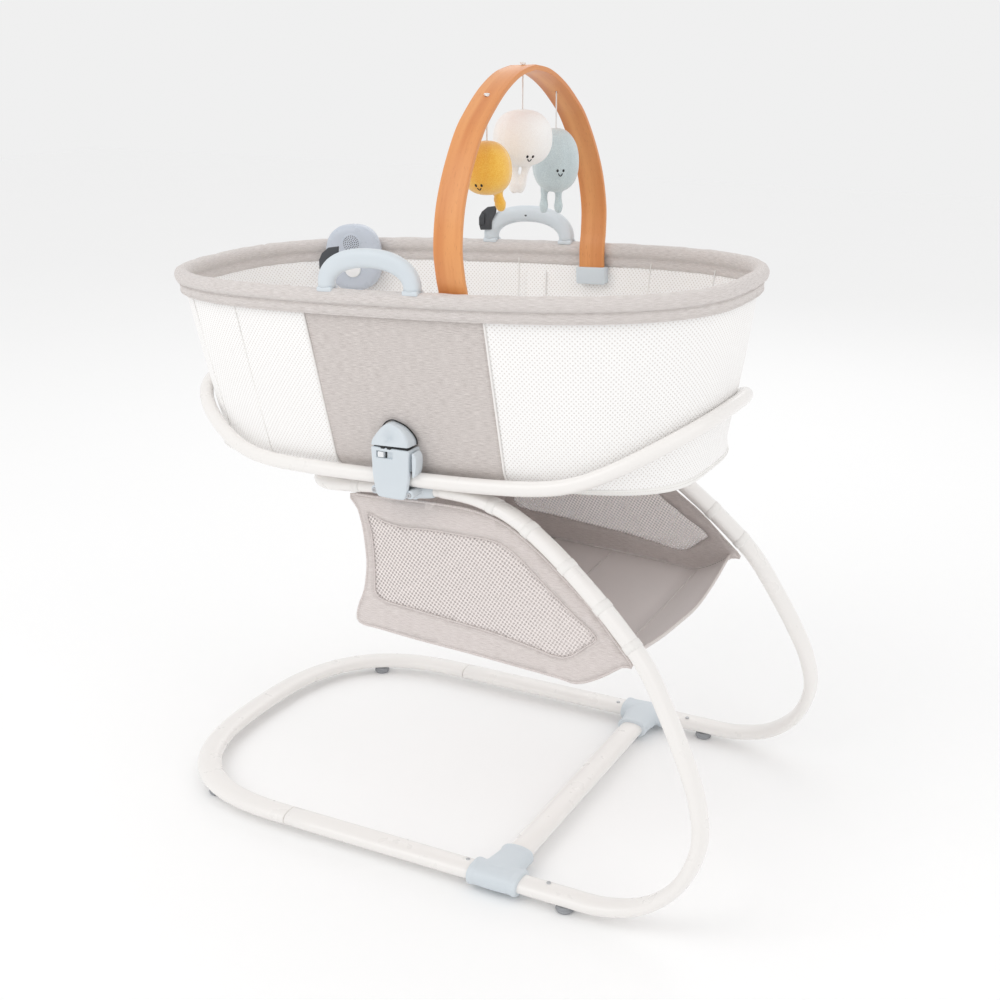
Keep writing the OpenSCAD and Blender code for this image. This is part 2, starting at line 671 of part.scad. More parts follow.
// Webbing loops round the stand tube, at chosen stations of the leg's centre line
loop_stations = [31, 34, 37, 40, 43];

module basket_loops() {
    color(grey_fabric) for (far = [false, true]) side_far(far) at_cradle() {
        for (s = loop_stations) {
            part = [for (i = [s : s + 1]) leg_path[i]];
            dirs = [for (i = [s : s + 1]) leg_wide[i]];
            mid = (part[0] + part[1]) / 2;
            t = unit(part[1] - part[0]);
            short = [mid - 6 * t, mid + 6 * t];
            long = [mid - 8 * t, mid + 8 * t];
            difference() {
                sweep(short, dirs, tube_a + 1.2, tube_b + 1.6);
                sweep(long, dirs, tube_a - 0.7, tube_b - 0.2);
            }
        }
        for (u = [-68, 54]) translate([u, -clamp_y, 552.2 - (30 - u) * clamp_slope])
            rotate([0, 90 - atan(clamp_slope), 0]) difference() {
                translate([0, 0, -6]) cylinder(r = rear_r + 2.2, h = 12);
                translate([0, 0, -8]) cylinder(r = rear_r + 0.4, h = 16);
            }
    }
}

// ---------- output ----------
base_front_tube();
side_rail(false);  // side_rail_near
side_rail(true);  // side_rail_far
leg_tube(false);  // leg_tube_near
leg_tube(true);  // leg_tube_far
rear_tube();
crossbar();
floor_hub(false);  // floor_hub_near
floor_hub(true);  // floor_hub_far
foot_pads();
frame_screws();
stand_cover(false);  // stand_cover_near
stand_cover(true);  // stand_cover_far
tube_clamp(false);  // tube_clamp_near
tube_clamp(true);  // tube_clamp_far
cover_screws();
pivot_pins();
ring_head_tube();
ring_foot_tube();
ring_hub(false);  // ring_hub_near
ring_hub(true);  // ring_hub_far
lock_slider(false);  // lock_slider_near
lock_slider(true);  // lock_slider_far
release_button(false);  // release_button_near
release_button(true);  // release_button_far
rim_tube();
rim_band();
side_panel(false);  // side_panel_near
side_panel(true);  // side_panel_far
mesh_head();
mesh_foot();
base_board();
mattress();
strut(false);  // strut_near
strut(true);  // strut_far
latch_cap(false);  // latch_cap_near
latch_cap(true);  // latch_cap_far
handle(false);  // handle_near
handle(true);  // handle_far
handle_clips();
handle_screws();
arch_socket(false);  // arch_socket_near
arch_socket(true);  // arch_socket_far
toy_arch();
color("gold") toy(0);  // toy_yellow
color("white") toy(1);  // toy_white
color("lightblue") toy(2);  // toy_blue
string(0);  // string_yellow
string(1);  // string_white
string(2);  // string_blue
soother_back();
soother_front();
soother_grille();
soother_lens();
soother_button();
basket_side(false);  // basket_near
basket_side(true);  // basket_far
basket_floor();
basket_head();
basket_loops();
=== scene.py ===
import math

import bmesh
import bpy
import numpy as np
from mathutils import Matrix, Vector
from mathutils.bvhtree import BVHTree
from mathutils.geometry import delaunay_2d_cdt


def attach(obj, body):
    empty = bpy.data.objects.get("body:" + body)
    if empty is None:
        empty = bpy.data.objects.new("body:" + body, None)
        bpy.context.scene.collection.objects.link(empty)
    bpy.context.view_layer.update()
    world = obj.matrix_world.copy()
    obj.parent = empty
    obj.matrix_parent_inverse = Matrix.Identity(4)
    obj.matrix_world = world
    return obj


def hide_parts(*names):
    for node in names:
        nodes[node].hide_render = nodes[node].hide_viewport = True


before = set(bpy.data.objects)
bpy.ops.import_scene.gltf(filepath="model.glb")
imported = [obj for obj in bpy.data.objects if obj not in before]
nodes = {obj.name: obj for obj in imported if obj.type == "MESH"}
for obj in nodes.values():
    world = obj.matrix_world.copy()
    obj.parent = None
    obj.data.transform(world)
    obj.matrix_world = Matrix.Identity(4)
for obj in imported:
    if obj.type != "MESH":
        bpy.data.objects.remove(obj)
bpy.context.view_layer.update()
print("stage: frame loaded")

# camera and light first
studio = {
    "cameraAt": (0.98012, -1.82857, 1.18139), "azimuth": 27.28, "elevation": 19.0,
    "lens": 51.97, "floorSize": 16.0, "worldStrength": 0.87, "keyPower": 19.0, "fillPower": 8.0,
}


def setStudio():
    scene = bpy.context.scene
    camera = bpy.data.objects.new("photoCamera", bpy.data.cameras.new("photoCamera"))
    scene.collection.objects.link(camera)
    camera.location = studio["cameraAt"]
    camera.rotation_euler = (math.radians(90 - studio["elevation"]), 0, math.radians(studio["azimuth"]))
    camera.data.lens = studio["lens"]
    camera.data.sensor_width = 36
    camera.data.clip_end = 60
    scene.camera = camera
    scene.view_settings.view_transform = "Standard"
    world = bpy.data.worlds.new("softStudio")
    world.use_nodes = True
    world.node_tree.nodes["Background"].inputs["Color"].default_value = (1.0, 1.0, 1.0, 1)
    world.node_tree.nodes["Background"].inputs["Strength"].default_value = studio["worldStrength"]
    scene.world = world
    for name, place, size, power in (("keyLight", (-1.2, -2.2, 2.8), 2.2, studio["keyPower"]),
                                     ("fillLight", (2.4, -0.6, 2.2), 2.4, studio["fillPower"]),
                                     ("backLight", (-0.6, 2.6, 2.4), 2.0, studio["fillPower"])):
        lamp = bpy.data.lights.new(name, "AREA")
        lamp.energy = power
        lamp.size = size
        holder = bpy.data.objects.new(name, lamp)
        holder.location = place
        holder.rotation_euler = (Vector((0, 0, 0.6)) - Vector(place)).to_track_quat("-Z", "Y").to_euler()
        scene.collection.objects.link(holder)
    half = studio["floorSize"] / 2
    floorMesh = bpy.data.meshes.new("studioFloor")
    floorMesh.from_pydata([(-half, -half, 0), (half, -half, 0), (half, half, 0), (-half, half, 0)], [],
                          [(0, 1, 2, 3)])
    floor = bpy.data.objects.new("studioFloor", floorMesh)
    scene.collection.objects.link(floor)
    return floor


# ---- colours and shader helpers ----
def srgb(r, g, b):
    return [c / 12.92 if c <= 0.04045 else ((c + 0.055) / 1.055) ** 2.4
            for c in (r / 255, g / 255, b / 255)] + [1]


def newMaterial(name, rough, metal=0.0, coat=0.0, sheen=0.0, specular=0.5):
    mat = bpy.data.materials.new(name)
    mat.use_nodes = True
    shader = mat.node_tree.nodes["Principled BSDF"]
    shader.inputs["Roughness"].default_value = rough
    shader.inputs["Metallic"].default_value = metal
    shader.inputs["Coat Weight"].default_value = coat
    shader.inputs["Coat Roughness"].default_value = 0.12
    shader.inputs["Sheen Weight"].default_value = sheen
    shader.inputs["Sheen Roughness"].default_value = 0.6
    shader.inputs["Specular IOR Level"].default_value = specular
    return mat


def node(mat, kind, **settings):
    made = mat.node_tree.nodes.new(kind)
    for key, value in settings.items():
        setattr(made, key, value)
    return made


def join(mat, a, b):
    mat.node_tree.links.new(a, b)


def coords(mat, output, scale):
    place = node(mat, "ShaderNodeMapping")
    place.inputs["Scale"].default_value = scale
    join(mat, node(mat, "ShaderNodeTexCoord").outputs[output], place.inputs["Vector"])
    return place.outputs["Vector"]


def noise(mat, vector, scale, detail=2.0, rough=0.5):
    made = node(mat, "ShaderNodeTexNoise")
    made.inputs["Scale"].default_value = scale
    made.inputs["Detail"].default_value = detail
    made.inputs["Roughness"].default_value = rough
    join(mat, vector, made.inputs["Vector"])
    return made.outputs["Fac"]


def sums(mat, operation, a, b):
    made = node(mat, "ShaderNodeMath", operation=operation)
    for slot, value in zip((0, 1), (a, b)):
        if isinstance(value, (int, float)):
            made.inputs[slot].default_value = value
        elif value is not None:
            join(mat, value, made.inputs[slot])
    return made.outputs[0]


def ramp(mat, value, low, high, start=0.0, end=1.0):
    made = node(mat, "ShaderNodeMapRange", interpolation_type="SMOOTHSTEP")
    for key, number in (("From Min", low), ("From Max", high), ("To Min", start), ("To Max", end)):
        made.inputs[key].default_value = number
    join(mat, value, made.inputs["Value"])
    return made.outputs["Result"]


def mixed(mat, fac, a, b):
    made = node(mat, "ShaderNodeMix", data_type="RGBA")
    for slot, value in ((6, a), (7, b)):
        if isinstance(value, (list, tuple)):
            made.inputs[slot].default_value = value
        else:
            join(mat, value, made.inputs[slot])
    join(mat, fac, made.inputs[0])
    return made.outputs[2]


def finishMaterial(mat, color, height=None, strength=0.3, distance=0.001, rough=None):
    shader = mat.node_tree.nodes["Principled BSDF"]
    if isinstance(color, (list, tuple)):
        shader.inputs["Base Color"].default_value = color
    else:
        join(mat, color, shader.inputs["Base Color"])
    if height is not None:
        bump = node(mat, "ShaderNodeBump")
        bump.inputs["Strength"].default_value = strength
        bump.inputs["Distance"].default_value = distance
        join(mat, height, bump.inputs["Height"])
        join(mat, bump.outputs["Normal"], shader.inputs["Normal"])
    if rough is not None:
        join(mat, rough, shader.inputs["Roughness"])
    return mat


def makePaint():
    mat = newMaterial("whiteLacquer", 0.3, coat=0.35)
    at = coords(mat, "Object", (1, 1, 1))
    tone = mixed(mat, noise(mat, at, 5, 2), srgb(244, 241, 238), srgb(240, 237, 234))
    peel = noise(mat, at, 900, 1)
    rough = ramp(mat, noise(mat, at, 30, 3), 0.3, 0.7, 0.27, 0.33)
    return finishMaterial(mat, tone, peel, 0.03, 0.0002, rough)


def makePlastic(name, light, dark, rough=0.4, grain=0.12):
    mat = newMaterial(name, rough)
    at = coords(mat, "Object", (1, 1, 1))
    tone = mixed(mat, noise(mat, at, 14, 3), light, dark)
    skin = noise(mat, at, 1500, 2)
    return finishMaterial(mat, tone, skin, grain, 0.0004,
                          ramp(mat, noise(mat, at, 60, 2), 0.3, 0.7, rough - 0.05, rough + 0.07))


def makeMelange(name, light, dark, streak=1.0):
    mat = newMaterial(name, 0.92, sheen=0.25, specular=0.2)
    long = noise(mat, coords(mat, "UV", (85, 1500, 1)), 1.0, 3, 0.65)
    fine = noise(mat, coords(mat, "UV", (1100, 1100, 1)), 1.0, 2)
    broad = noise(mat, coords(mat, "UV", (9, 14, 1)), 1.0, 2)
    speck = ramp(mat, sums(mat, "ADD", sums(mat, "MULTIPLY", long, 0.7), sums(mat, "MULTIPLY", fine, 0.3)),
                 0.38, 0.62)
    mid = [a * 0.5 + b * 0.5 for a, b in zip(light, dark)]
    tone = mixed(mat, sums(mat, "MULTIPLY", speck, streak), light, dark)
    tone = mixed(mat, ramp(mat, broad, 0.35, 0.75, 0.0, 0.3), tone, mid)
    warp = sums(mat, "SINE", weaveAxis(mat, 0, 5200), None)
    weft = sums(mat, "SINE", weaveAxis(mat, 1, 5200), None)
    weave = sums(mat, "ADD", sums(mat, "MULTIPLY", warp, weft), sums(mat, "MULTIPLY", fine, 1.2))
    return finishMaterial(mat, tone, weave, 0.35, 0.0006)


def weaveAxis(mat, axis, frequency):
    split = node(mat, "ShaderNodeSeparateXYZ")
    join(mat, coords(mat, "UV", (frequency, frequency, 1)), split.inputs[0])
    return split.outputs[axis]


def makeNetting(name, cloth, hole, pitch, low=0.35, high=0.8, tint=1.0):
    mat = newMaterial(name, 0.85, sheen=0.15, specular=0.25)
    across = sums(mat, "COSINE", weaveAxis(mat, 0, 2 * math.pi / pitch), None)
    along = sums(mat, "COSINE", weaveAxis(mat, 1, 2 * math.pi / (pitch * 1.05)), None)
    dots = ramp(mat, sums(mat, "MULTIPLY", across, along), low, high)
    tone = mixed(mat, noise(mat, coords(mat, "UV", (12, 12, 1)), 1.0, 2), cloth,
                 [c * 0.97 for c in cloth[:3]] + [1])
    tone = mixed(mat, sums(mat, "MULTIPLY", dots, tint), tone, hole)
    fine = noise(mat, coords(mat, "UV", (1400, 1400, 1)), 1.0, 1)
    height = sums(mat, "SUBTRACT", sums(mat, "MULTIPLY", fine, 0.3), dots)
    return finishMaterial(mat, tone, height, 0.45, 0.0007)


def makeSheerNet(name, cloth, pitch):
    # an open mesh: its holes let what lies behind show through
    mat = newMaterial(name, 0.85, sheen=0.15, specular=0.25)
    skew = node(mat, "ShaderNodeMapping")
    skew.inputs["Rotation"].default_value = (0, 0, math.radians(28))
    join(mat, coords(mat, "UV", (1, 1, 1)), skew.inputs["Vector"])
    split = node(mat, "ShaderNodeSeparateXYZ")
    join(mat, skew.outputs["Vector"], split.inputs[0])
    across = sums(mat, "COSINE", sums(mat, "MULTIPLY", split.outputs[0], 2 * math.pi / pitch), None)
    along = sums(mat, "COSINE", sums(mat, "MULTIPLY", split.outputs[1], 2 * math.pi / pitch), None)
    cells = sums(mat, "ADD", across, along)
    join(mat, ramp(mat, cells, -0.1, 0.6, 1.0, 0.3), mat.node_tree.nodes["Principled BSDF"].inputs["Alpha"])
    tone = mixed(mat, noise(mat, coords(mat, "UV", (60, 60, 1)), 1.0, 2), cloth,
                 [c * 0.93 for c in cloth[:3]] + [1])
    return finishMaterial(mat, tone, cells, 0.2, 0.0004)


def makeCloth(name, light, dark, weave=3600, strength=0.3):
    mat = newMaterial(name, 0.9, sheen=0.2, specular=0.2)
    tone = mixed(mat, noise(mat, coords(mat, "UV", (60, 60, 1)), 1.0, 3), light, dark)
    rib = sums(mat, "SINE", weaveAxis(mat, 0, weave), None)
    cross = sums(mat, "SINE", weaveAxis(mat, 1, weave), None)
    return finishMaterial(mat, tone, sums(mat, "MULTIPLY", rib, cross), strength, 0.0005)


def makeBeech(name, light, dark, fleck):
    mat = newMaterial(name, 0.42, coat=0.12)
    grain = noise(mat, coords(mat, "UV", (260, 9, 1)), 1.0, 4, 0.6)
    wide = noise(mat, coords(mat, "UV", (40, 2.5, 1)), 1.0, 2)
    tone = mixed(mat, ramp(mat, wide, 0.3, 0.75), light, dark)
    tone = mixed(mat, ramp(mat, grain, 0.52, 0.75, 0.0, 0.45), tone, dark)
    tiny = noise(mat, coords(mat, "UV", (900, 90, 1)), 1.0, 1)
    tone = mixed(mat, ramp(mat, tiny, 0.64, 0.74, 0.0, 0.35), tone, fleck)
    return finishMaterial(mat, tone, grain, 0.12, 0.0005)


def makePlush(name, light, dark):
    mat = newMaterial(name, 0.95, sheen=0.6, specular=0.15)
    at = coords(mat, "Object", (1, 1, 1))
    tufts = noise(mat, at, 1100, 3, 0.6)
    tone = mixed(mat, ramp(mat, tufts, 0.3, 0.68), dark, light)
    tone = mixed(mat, ramp(mat, noise(mat, at, 60, 2), 0.4, 0.75, 0.0, 0.25), tone, dark)
    return finishMaterial(mat, tone, tufts, 0.5, 0.0008)


def makeSteel(name):
    mat = newMaterial(name, 0.32, metal=1.0)
    at = coords(mat, "Object", (1, 1, 1))
    return finishMaterial(mat, mixed(mat, noise(mat, at, 90, 3), srgb(205, 206, 208), srgb(180, 181, 184)),
                          noise(mat, at, 900, 2), 0.1, 0.0003)


floorPiece = setStudio()
look = {
    "paint": makePaint(),
    "plastic": makePlastic("paleBluePlastic", srgb(217, 224, 229), srgb(208, 216, 222)),
    # painted shade: a darker copy of the pale blue plastic, used inside the clamp covers and on the ring hubs
    # where shade falls
    "paintedShadePlastic": makePlastic("shadedPlastic", srgb(176, 182, 188), srgb(166, 172, 178), 0.5),
    "slider": makePlastic("whitePlastic", srgb(243, 244, 245), srgb(236, 238, 240), 0.34),
    # the soother plastic is violet-blue, and its colour is set a little darker than the pale plastic as
    # painted shade on the unit
    "violet": makePlastic("violetPlastic", srgb(203, 210, 221), srgb(196, 203, 214), 0.3, 0.06),
    "lens": makePlastic("milkyLens", srgb(250, 250, 250), srgb(244, 245, 247), 0.22, 0.03),
    "dark": makePlastic("darkPlastic", srgb(70, 72, 76), srgb(60, 62, 66), 0.5),
    # near-black for the toys' eyes and smiles and the slider bar; also used as painted shadow in the cover
    # slots, the split line and the slit round the latch cap
    "blackAndShade": makePlastic("blackAndShadowGap", srgb(40, 40, 42), srgb(34, 34, 36), 0.7),
    "rubber": makePlastic("greyRubber", srgb(168, 170, 174), srgb(154, 156, 160), 0.75, 0.3),
    "steel": makeSteel("brushedSteel"),
    "melange": makeMelange("greyMelange", srgb(229, 222, 218), srgb(192, 183, 179)),
    "bandMelange": makeMelange("bandMelange", srgb(234, 228, 225), srgb(201, 193, 189), 0.95),
    "basketMelange": makeMelange("basketMelange", srgb(234, 226, 223), srgb(204, 194, 190), 0.9),
    "whiteNet": makeNetting("whiteNet", srgb(254, 253, 252), srgb(226, 221, 217), 0.0062),
    "basketNet": makeSheerNet("basketNet", srgb(238, 230, 227), 0.0046),
    "whiteCloth": makeCloth("whiteCloth", srgb(252, 251, 248), srgb(246, 244, 241)),
    "piping": makeCloth("pipingCloth", srgb(250, 248, 245), srgb(240, 237, 234)),
    "basketFloor": makeMelange("basketFloorCloth", srgb(236, 229, 227), srgb(206, 198, 195), 0.8),
    "webbing": makeCloth("webbingCloth", srgb(251, 249, 246), srgb(243, 240, 237), 2600, 0.5),
    "thread": makeCloth("sewingThread", srgb(226, 221, 217), srgb(208, 202, 198), 9000),
    "beech": makeBeech("beechGrain", srgb(230, 160, 98), srgb(208, 128, 70), srgb(164, 92, 46)),
    "board": makeBeech("boardGrain", srgb(214, 190, 158), srgb(198, 172, 138), srgb(160, 132, 100)),
    "yellowPlush": makePlush("yellowPlush", srgb(255, 212, 96), srgb(240, 172, 44)),
    "whitePlush": makePlush("whitePlush", srgb(255, 254, 252), srgb(243, 239, 236)),
    "bluePlush": makePlush("bluePlush", srgb(214, 226, 228), srgb(184, 198, 202)),
    "cordYarn": makeCloth("cordYarn", srgb(255, 254, 252), srgb(244, 241, 238), 7000, 0.5),
}
floorPaint = newMaterial("paleFloor", 0.9, specular=0.1)
floorPiece.data.materials.append(finishMaterial(
    floorPaint, mixed(floorPaint, noise(floorPaint, coords(floorPaint, "Object", (1, 1, 1)), 2, 2),
                      srgb(255, 255, 255), srgb(254, 254, 254))))
print("stage: materials made")

# ---- the cradle's own measures, in millimetres as on the drawing ----
plan = {
    "cradleX": -19.76, "floorZ": 6.5, "tilt": 2.4, "pivotU": 13, "pivotZ": 598,
    "rimA": 434, "rimB": 238, "rimZ": 822, "rimPower": 2.8, "rollR": 11, "bottomA": 384, "bottomB": 174,
    "wallLow": 560, "wallKnee": 590, "wallTall": 252, "kneeA": 390, "kneeB": 207.5,
    "ringA": 416, "ringB": 221.5, "ringR": 10.5, "ringZ": 573, "ringSlope": 0.55, "ringFlat": 267,
    "railY": 280, "railZ": 28, "tubeA": 19, "tubeB": 10.5, "baseEnd": -413, "hubU": 197, "lean": 0.155,
    "seamU": -155.5, "bendL": 254, "bendE": 0.74, "archU": 113, "archT": 7,
}
lean = plan["lean"]


def inStand(points):
    p = np.asarray(points, float).reshape(-1, 3)
    return (p + [plan["cradleX"], 0, -plan["floorZ"]]) / 1000


def inCradle(points):
    p = np.asarray(points, float).reshape(-1, 3)
    c, s = math.cos(math.radians(plan["tilt"])), math.sin(math.radians(plan["tilt"]))
    dx, dz = p[:, 0] - plan["pivotU"], p[:, 2] - plan["pivotZ"]
    return np.stack([plan["cradleX"] + plan["pivotU"] + c * dx - s * dz, p[:, 1],
                     plan["pivotZ"] - plan["floorZ"] + s * dx + c * dz], 1) / 1000


def turned(vectors):
    p = np.asarray(vectors, float).reshape(-1, 3)
    c, s = math.cos(math.radians(plan["tilt"])), math.sin(math.radians(plan["tilt"]))
    return np.stack([c * p[:, 0] - s * p[:, 2], p[:, 1], s * p[:, 0] + c * p[:, 2]], 1)


def oval(a, b, n, angles):
    t = np.radians(np.asarray(angles, float))
    c, s = np.cos(t), np.sin(t)
    return np.stack([a * np.sign(c) * np.abs(c) ** (2 / n), b * np.sign(s) * np.abs(s) ** (2 / n)], 1)


def evenOval(a, b, n, count):
    dense = oval(a, b, n, np.linspace(0, 360, 4001))
    run = np.concatenate([[0], np.cumsum(np.hypot(*np.diff(dense, axis=0).T))])
    at = np.linspace(0, run[-1], count, endpoint=False)
    return np.stack([np.interp(at, run, dense[:, 0]), np.interp(at, run, dense[:, 1])], 1)


def smoothPath(points, steps):
    p = np.asarray(points, float)
    rows = []
    for i in range(len(p) - 1):
        a, b, c, d = p[max(i - 1, 0)], p[i], p[i + 1], p[min(i + 2, len(p) - 1)]
        for k in range(steps):
            t = k / steps
            rows.append(0.5 * (2 * b + (c - a) * t + (2 * a - 5 * b + 4 * c - d) * t * t
                               + (3 * b - a - 3 * c + d) * t ** 3))
    rows.append(p[-1])
    return np.array(rows)


def unitRows(v):
    return v / np.maximum(np.linalg.norm(v, axis=-1, keepdims=True), 1e-12)


def sideY(z):
    return plan["railY"] - lean * (z - plan["railZ"])


# ---- mesh helpers ----
def makeObject(name, verts, faces, mat, uvs=None, smooth=True):
    mesh = bpy.data.meshes.new(name)
    mesh.from_pydata([tuple(v) for v in verts], [], [tuple(int(i) for i in f) for f in faces])
    if uvs is not None:
        layer = mesh.uv_layers.new(name="UVMap")
        flat = np.array([uvs[loop.vertex_index] for loop in mesh.loops], float).reshape(-1)
        layer.data.foreach_set("uv", flat)
    mesh.polygons.foreach_set("use_smooth", [smooth] * len(mesh.polygons))
    mesh.materials.append(mat)
    mesh.validate()
    obj = bpy.data.objects.new(name, mesh)
    bpy.context.scene.collection.objects.link(obj)
    return obj


def outward(obj, flip=False):
    work = bmesh.new()
    work.from_mesh(obj.data)
    bmesh.ops.recalc_face_normals(work, faces=work.faces)
    if flip:
        bmesh.ops.reverse_faces(work, faces=work.faces)
    work.to_mesh(obj.data)
    work.free()
    return obj


def gridSurface(name, rows, mat, closeRound=False, closeRows=False, uvScale=1.0, capEnds=False):
    # rows: (R, C, 3) in metres; UV in metres along the surface
    if closeRound:
        rows = np.concatenate([rows, rows[:, :1]], 1)
    if closeRows:
        rows = np.concatenate([rows, rows[:1]], 0)
    rr, cc = rows.shape[:2]
    across = np.concatenate([np.zeros((rr, 1)), np.cumsum(np.linalg.norm(np.diff(rows, axis=1), axis=2), 1)],
                            1)
    down = np.concatenate([np.zeros((1, cc)), np.cumsum(np.linalg.norm(np.diff(rows, axis=0), axis=2), 0)], 0)
    across = np.repeat(across.mean(0, keepdims=True), rr, 0)
    down = np.repeat(down.mean(1, keepdims=True), cc, 1)
    uv = np.stack([across, down], 2) * uvScale
    verts = rows.reshape(-1, 3)
    faces = [(i * cc + j, i * cc + j + 1, (i + 1) * cc + j + 1, (i + 1) * cc + j)
             for i in range(rr - 1) for j in range(cc - 1)]
    obj = makeObject(name, verts, faces, mat, uv.reshape(-1, 2))
    if capEnds or closeRound or closeRows:
        work = bmesh.new()
        work.from_mesh(obj.data)
        bmesh.ops.remove_doubles(work, verts=work.verts, dist=1e-6)
        if capEnds:
            loops = [e for e in work.edges if e.is_boundary]
            bmesh.ops.holes_fill(work, edges=loops, sides=0)
        work.to_mesh(obj.data)
        work.free()
    return obj


def closedShape(name, rows, mat):
    return outward(gridSurface(name, rows, mat, closeRound=True, capEnds=True))


def placedRows(rows, place):
    return place(rows.reshape(-1, 3)).reshape(rows.shape)


def sweepTube(name, path, wide, a, b, mat, n=2.3, sides=40, closed=False, ends=1.5):
    # path and wide in metres and row frame; the ends are rounded over the given millimetres
    p = np.asarray(path, float)
    if closed:
        t = unitRows(np.roll(p, -1, 0) - np.roll(p, 1, 0))
    else:
        t = unitRows(np.gradient(p, axis=0))
        if ends:
            step = ends / 1000
            p = np.concatenate([[p[0]], [p[0] + t[0] * step * 0.35], [p[0] + t[0] * step], p[1:-1],
                                [p[-1] - t[-1] * step], [p[-1] - t[-1] * step * 0.35], [p[-1]]])
            wide = np.concatenate([[wide[0]] * 3, wide[1:-1], [wide[-1]] * 3])
            t = unitRows(np.gradient(p, axis=0))
    w = np.asarray(wide, float)
    w = unitRows(w - (w * t).sum(1, keepdims=True) * t)
    h = np.cross(t, w)
    ring = oval(a, b, n, np.arange(sides) * 360 / sides) / 1000
    grow = np.ones(len(p))
    if ends and not closed:
        for at, size in ((0, 1 - ends / min(a, b)), (1, 1 - 0.35 * ends / min(a, b))):
            grow[at] = size
            grow[-1 - at] = size
    size = grow[:, None, None]
    rows = p[:, None] + ring[None, :, :1] * w[:, None] * size + ring[None, :, 1:] * h[:, None] * size
    obj = gridSurface(name, rows, mat, closeRound=True, closeRows=closed, capEnds=not closed)
    return outward(obj)


def bake(obj):
    # the evaluated shape becomes a plain mesh, with no modifier left
    bpy.context.view_layer.update()
    shown = obj.evaluated_get(bpy.context.evaluated_depsgraph_get())
    mesh = bpy.data.meshes.new_from_object(shown)
    if not mesh.materials and obj.data.materials:
        mesh.materials.append(obj.data.materials[0])
    obj.modifiers.clear()
    obj.data = mesh
    return obj


def addModifier(obj, kind, **settings):
    made = obj.modifiers.new(kind.lower(), kind)
    for key, value in settings.items():
        setattr(made, key, value)
    return made


def extruded(name, outline, depth0, depth1, place, mat, bevel=2.0, segments=4, smooth=True):
    # outline in (across, up), pushed from depth0 to depth1, placed by a function of (across, depth, up)
    outline = np.asarray(outline, float)
    count = len(outline)
    verts = np.concatenate([[(x, depth0, z) for x, z in outline], [(x, depth1, z) for x, z in outline]])
    faces = [tuple(range(count)), tuple(range(2 * count - 1, count - 1, -1))]
    faces += [(i, (i + 1) % count + count, (i + 1) % count) for i in range(count)]
    faces += [(i, i + count, (i + 1) % count + count) for i in range(count)]
    obj = makeObject(name, place(verts), faces, mat)
    work = bmesh.new()
    work.from_mesh(obj.data)
    bmesh.ops.dissolve_limit(work, angle_limit=0.02, verts=work.verts, edges=work.edges)
    bmesh.ops.recalc_face_normals(work, faces=work.faces)
    work.to_mesh(obj.data)
    work.free()
    if bevel:
        addModifier(obj, "BEVEL", width=bevel / 1000, segments=segments, limit_method="ANGLE",
                    angle_limit=math.radians(40))
        bake(obj)
    shadeByAngle(obj, 40 if smooth else 20)
    return obj


def shadeByAngle(obj, degrees):
    obj.data.polygons.foreach_set("use_smooth", [True] * len(obj.data.polygons))
    work = bmesh.new()
    work.from_mesh(obj.data)
    for edge in work.edges:
        if len(edge.link_faces) == 2:
            edge.smooth = edge.calc_face_angle(0) < math.radians(degrees)
    work.to_mesh(obj.data)
    work.free()


def merged(name, objs):
    work = bmesh.new()
    mats = []
    for obj in objs:
        start = len(mats)
        mats += list(obj.data.materials)
        first = len(work.faces)
        work.from_mesh(obj.data)
        work.faces.ensure_lookup_table()
        for face in work.faces[first:]:
            face.material_index += start
    mesh = bpy.data.meshes.new(name)
    work.to_mesh(mesh)
    work.free()
    for mat in mats:
        mesh.materials.append(mat)
    for obj in objs:
        bpy.data.objects.remove(obj)
    made = bpy.data.objects.new(name, mesh)
    bpy.context.scene.collection.objects.link(made)
    return made


def fused(name, objs, voxel, smoothSteps, mat, factor=0.5):
    # several closed shapes grown into one soft-edged body
    obj = merged(name, objs)
    addModifier(obj, "REMESH", mode="VOXEL", voxel_size=voxel / 1000, use_smooth_shade=True)
    if smoothSteps:
        addModifier(obj, "SMOOTH", factor=factor, iterations=smoothSteps)
    bake(obj)
    obj.data.materials.clear()
    obj.data.materials.append(mat)
    return obj


def cutOut(obj, cutter):
    addModifier(obj, "BOOLEAN", operation="DIFFERENCE", object=cutter, solver="EXACT")
    bake(obj)
    bpy.data.objects.remove(cutter)
    return obj


def lathe(name, profile, place, mat, steps=40):
    # profile of (radius, height) turned about its own axis, placed by a function of points
    angles = np.arange(steps) * 2 * math.pi / steps
    rows = np.array([[(r * math.cos(a), r * math.sin(a), h) for a in angles] for r, h in profile])
    return closedShape(name, placedRows(rows, place), mat)


def mirrored(points, far):
    p = np.asarray(points, float).reshape(-1, 3).copy()
    if far:
        p[:, 1] *= -1
    return p


def settle(obj, body, replaced=()):
    if replaced:
        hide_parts(*replaced)
    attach(obj, body)
    return obj


# ---- geometry node trees for what repeats ----
def newTree(name, inputs):
    tree = bpy.data.node_groups.new(name, "GeometryNodeTree")
    tree.interface.new_socket(name="Geometry", in_out="INPUT", socket_type="NodeSocketGeometry")
    sockets = {}
    for label, kind, value in inputs:
        socket = tree.interface.new_socket(name=label, in_out="INPUT", socket_type=kind)
        if value is not None:
            socket.default_value = value
        sockets[label] = socket.identifier
    tree.interface.new_socket(name="Geometry", in_out="OUTPUT", socket_type="NodeSocketGeometry")
    return tree, sockets


def grow(tree, kind, links=(), **settings):
    made = tree.nodes.new(kind)
    for key, value in settings.items():
        if hasattr(made, key):
            setattr(made, key, value)
        else:
            made.inputs[key].default_value = value
    for key, source in links:
        tree.links.new(source, made.inputs[key])
    return made


def timesBy(tree, source, factor):
    made = grow(tree, "ShaderNodeMath", [(0, source)], operation="MULTIPLY")
    made.inputs[1].default_value = factor
    return made


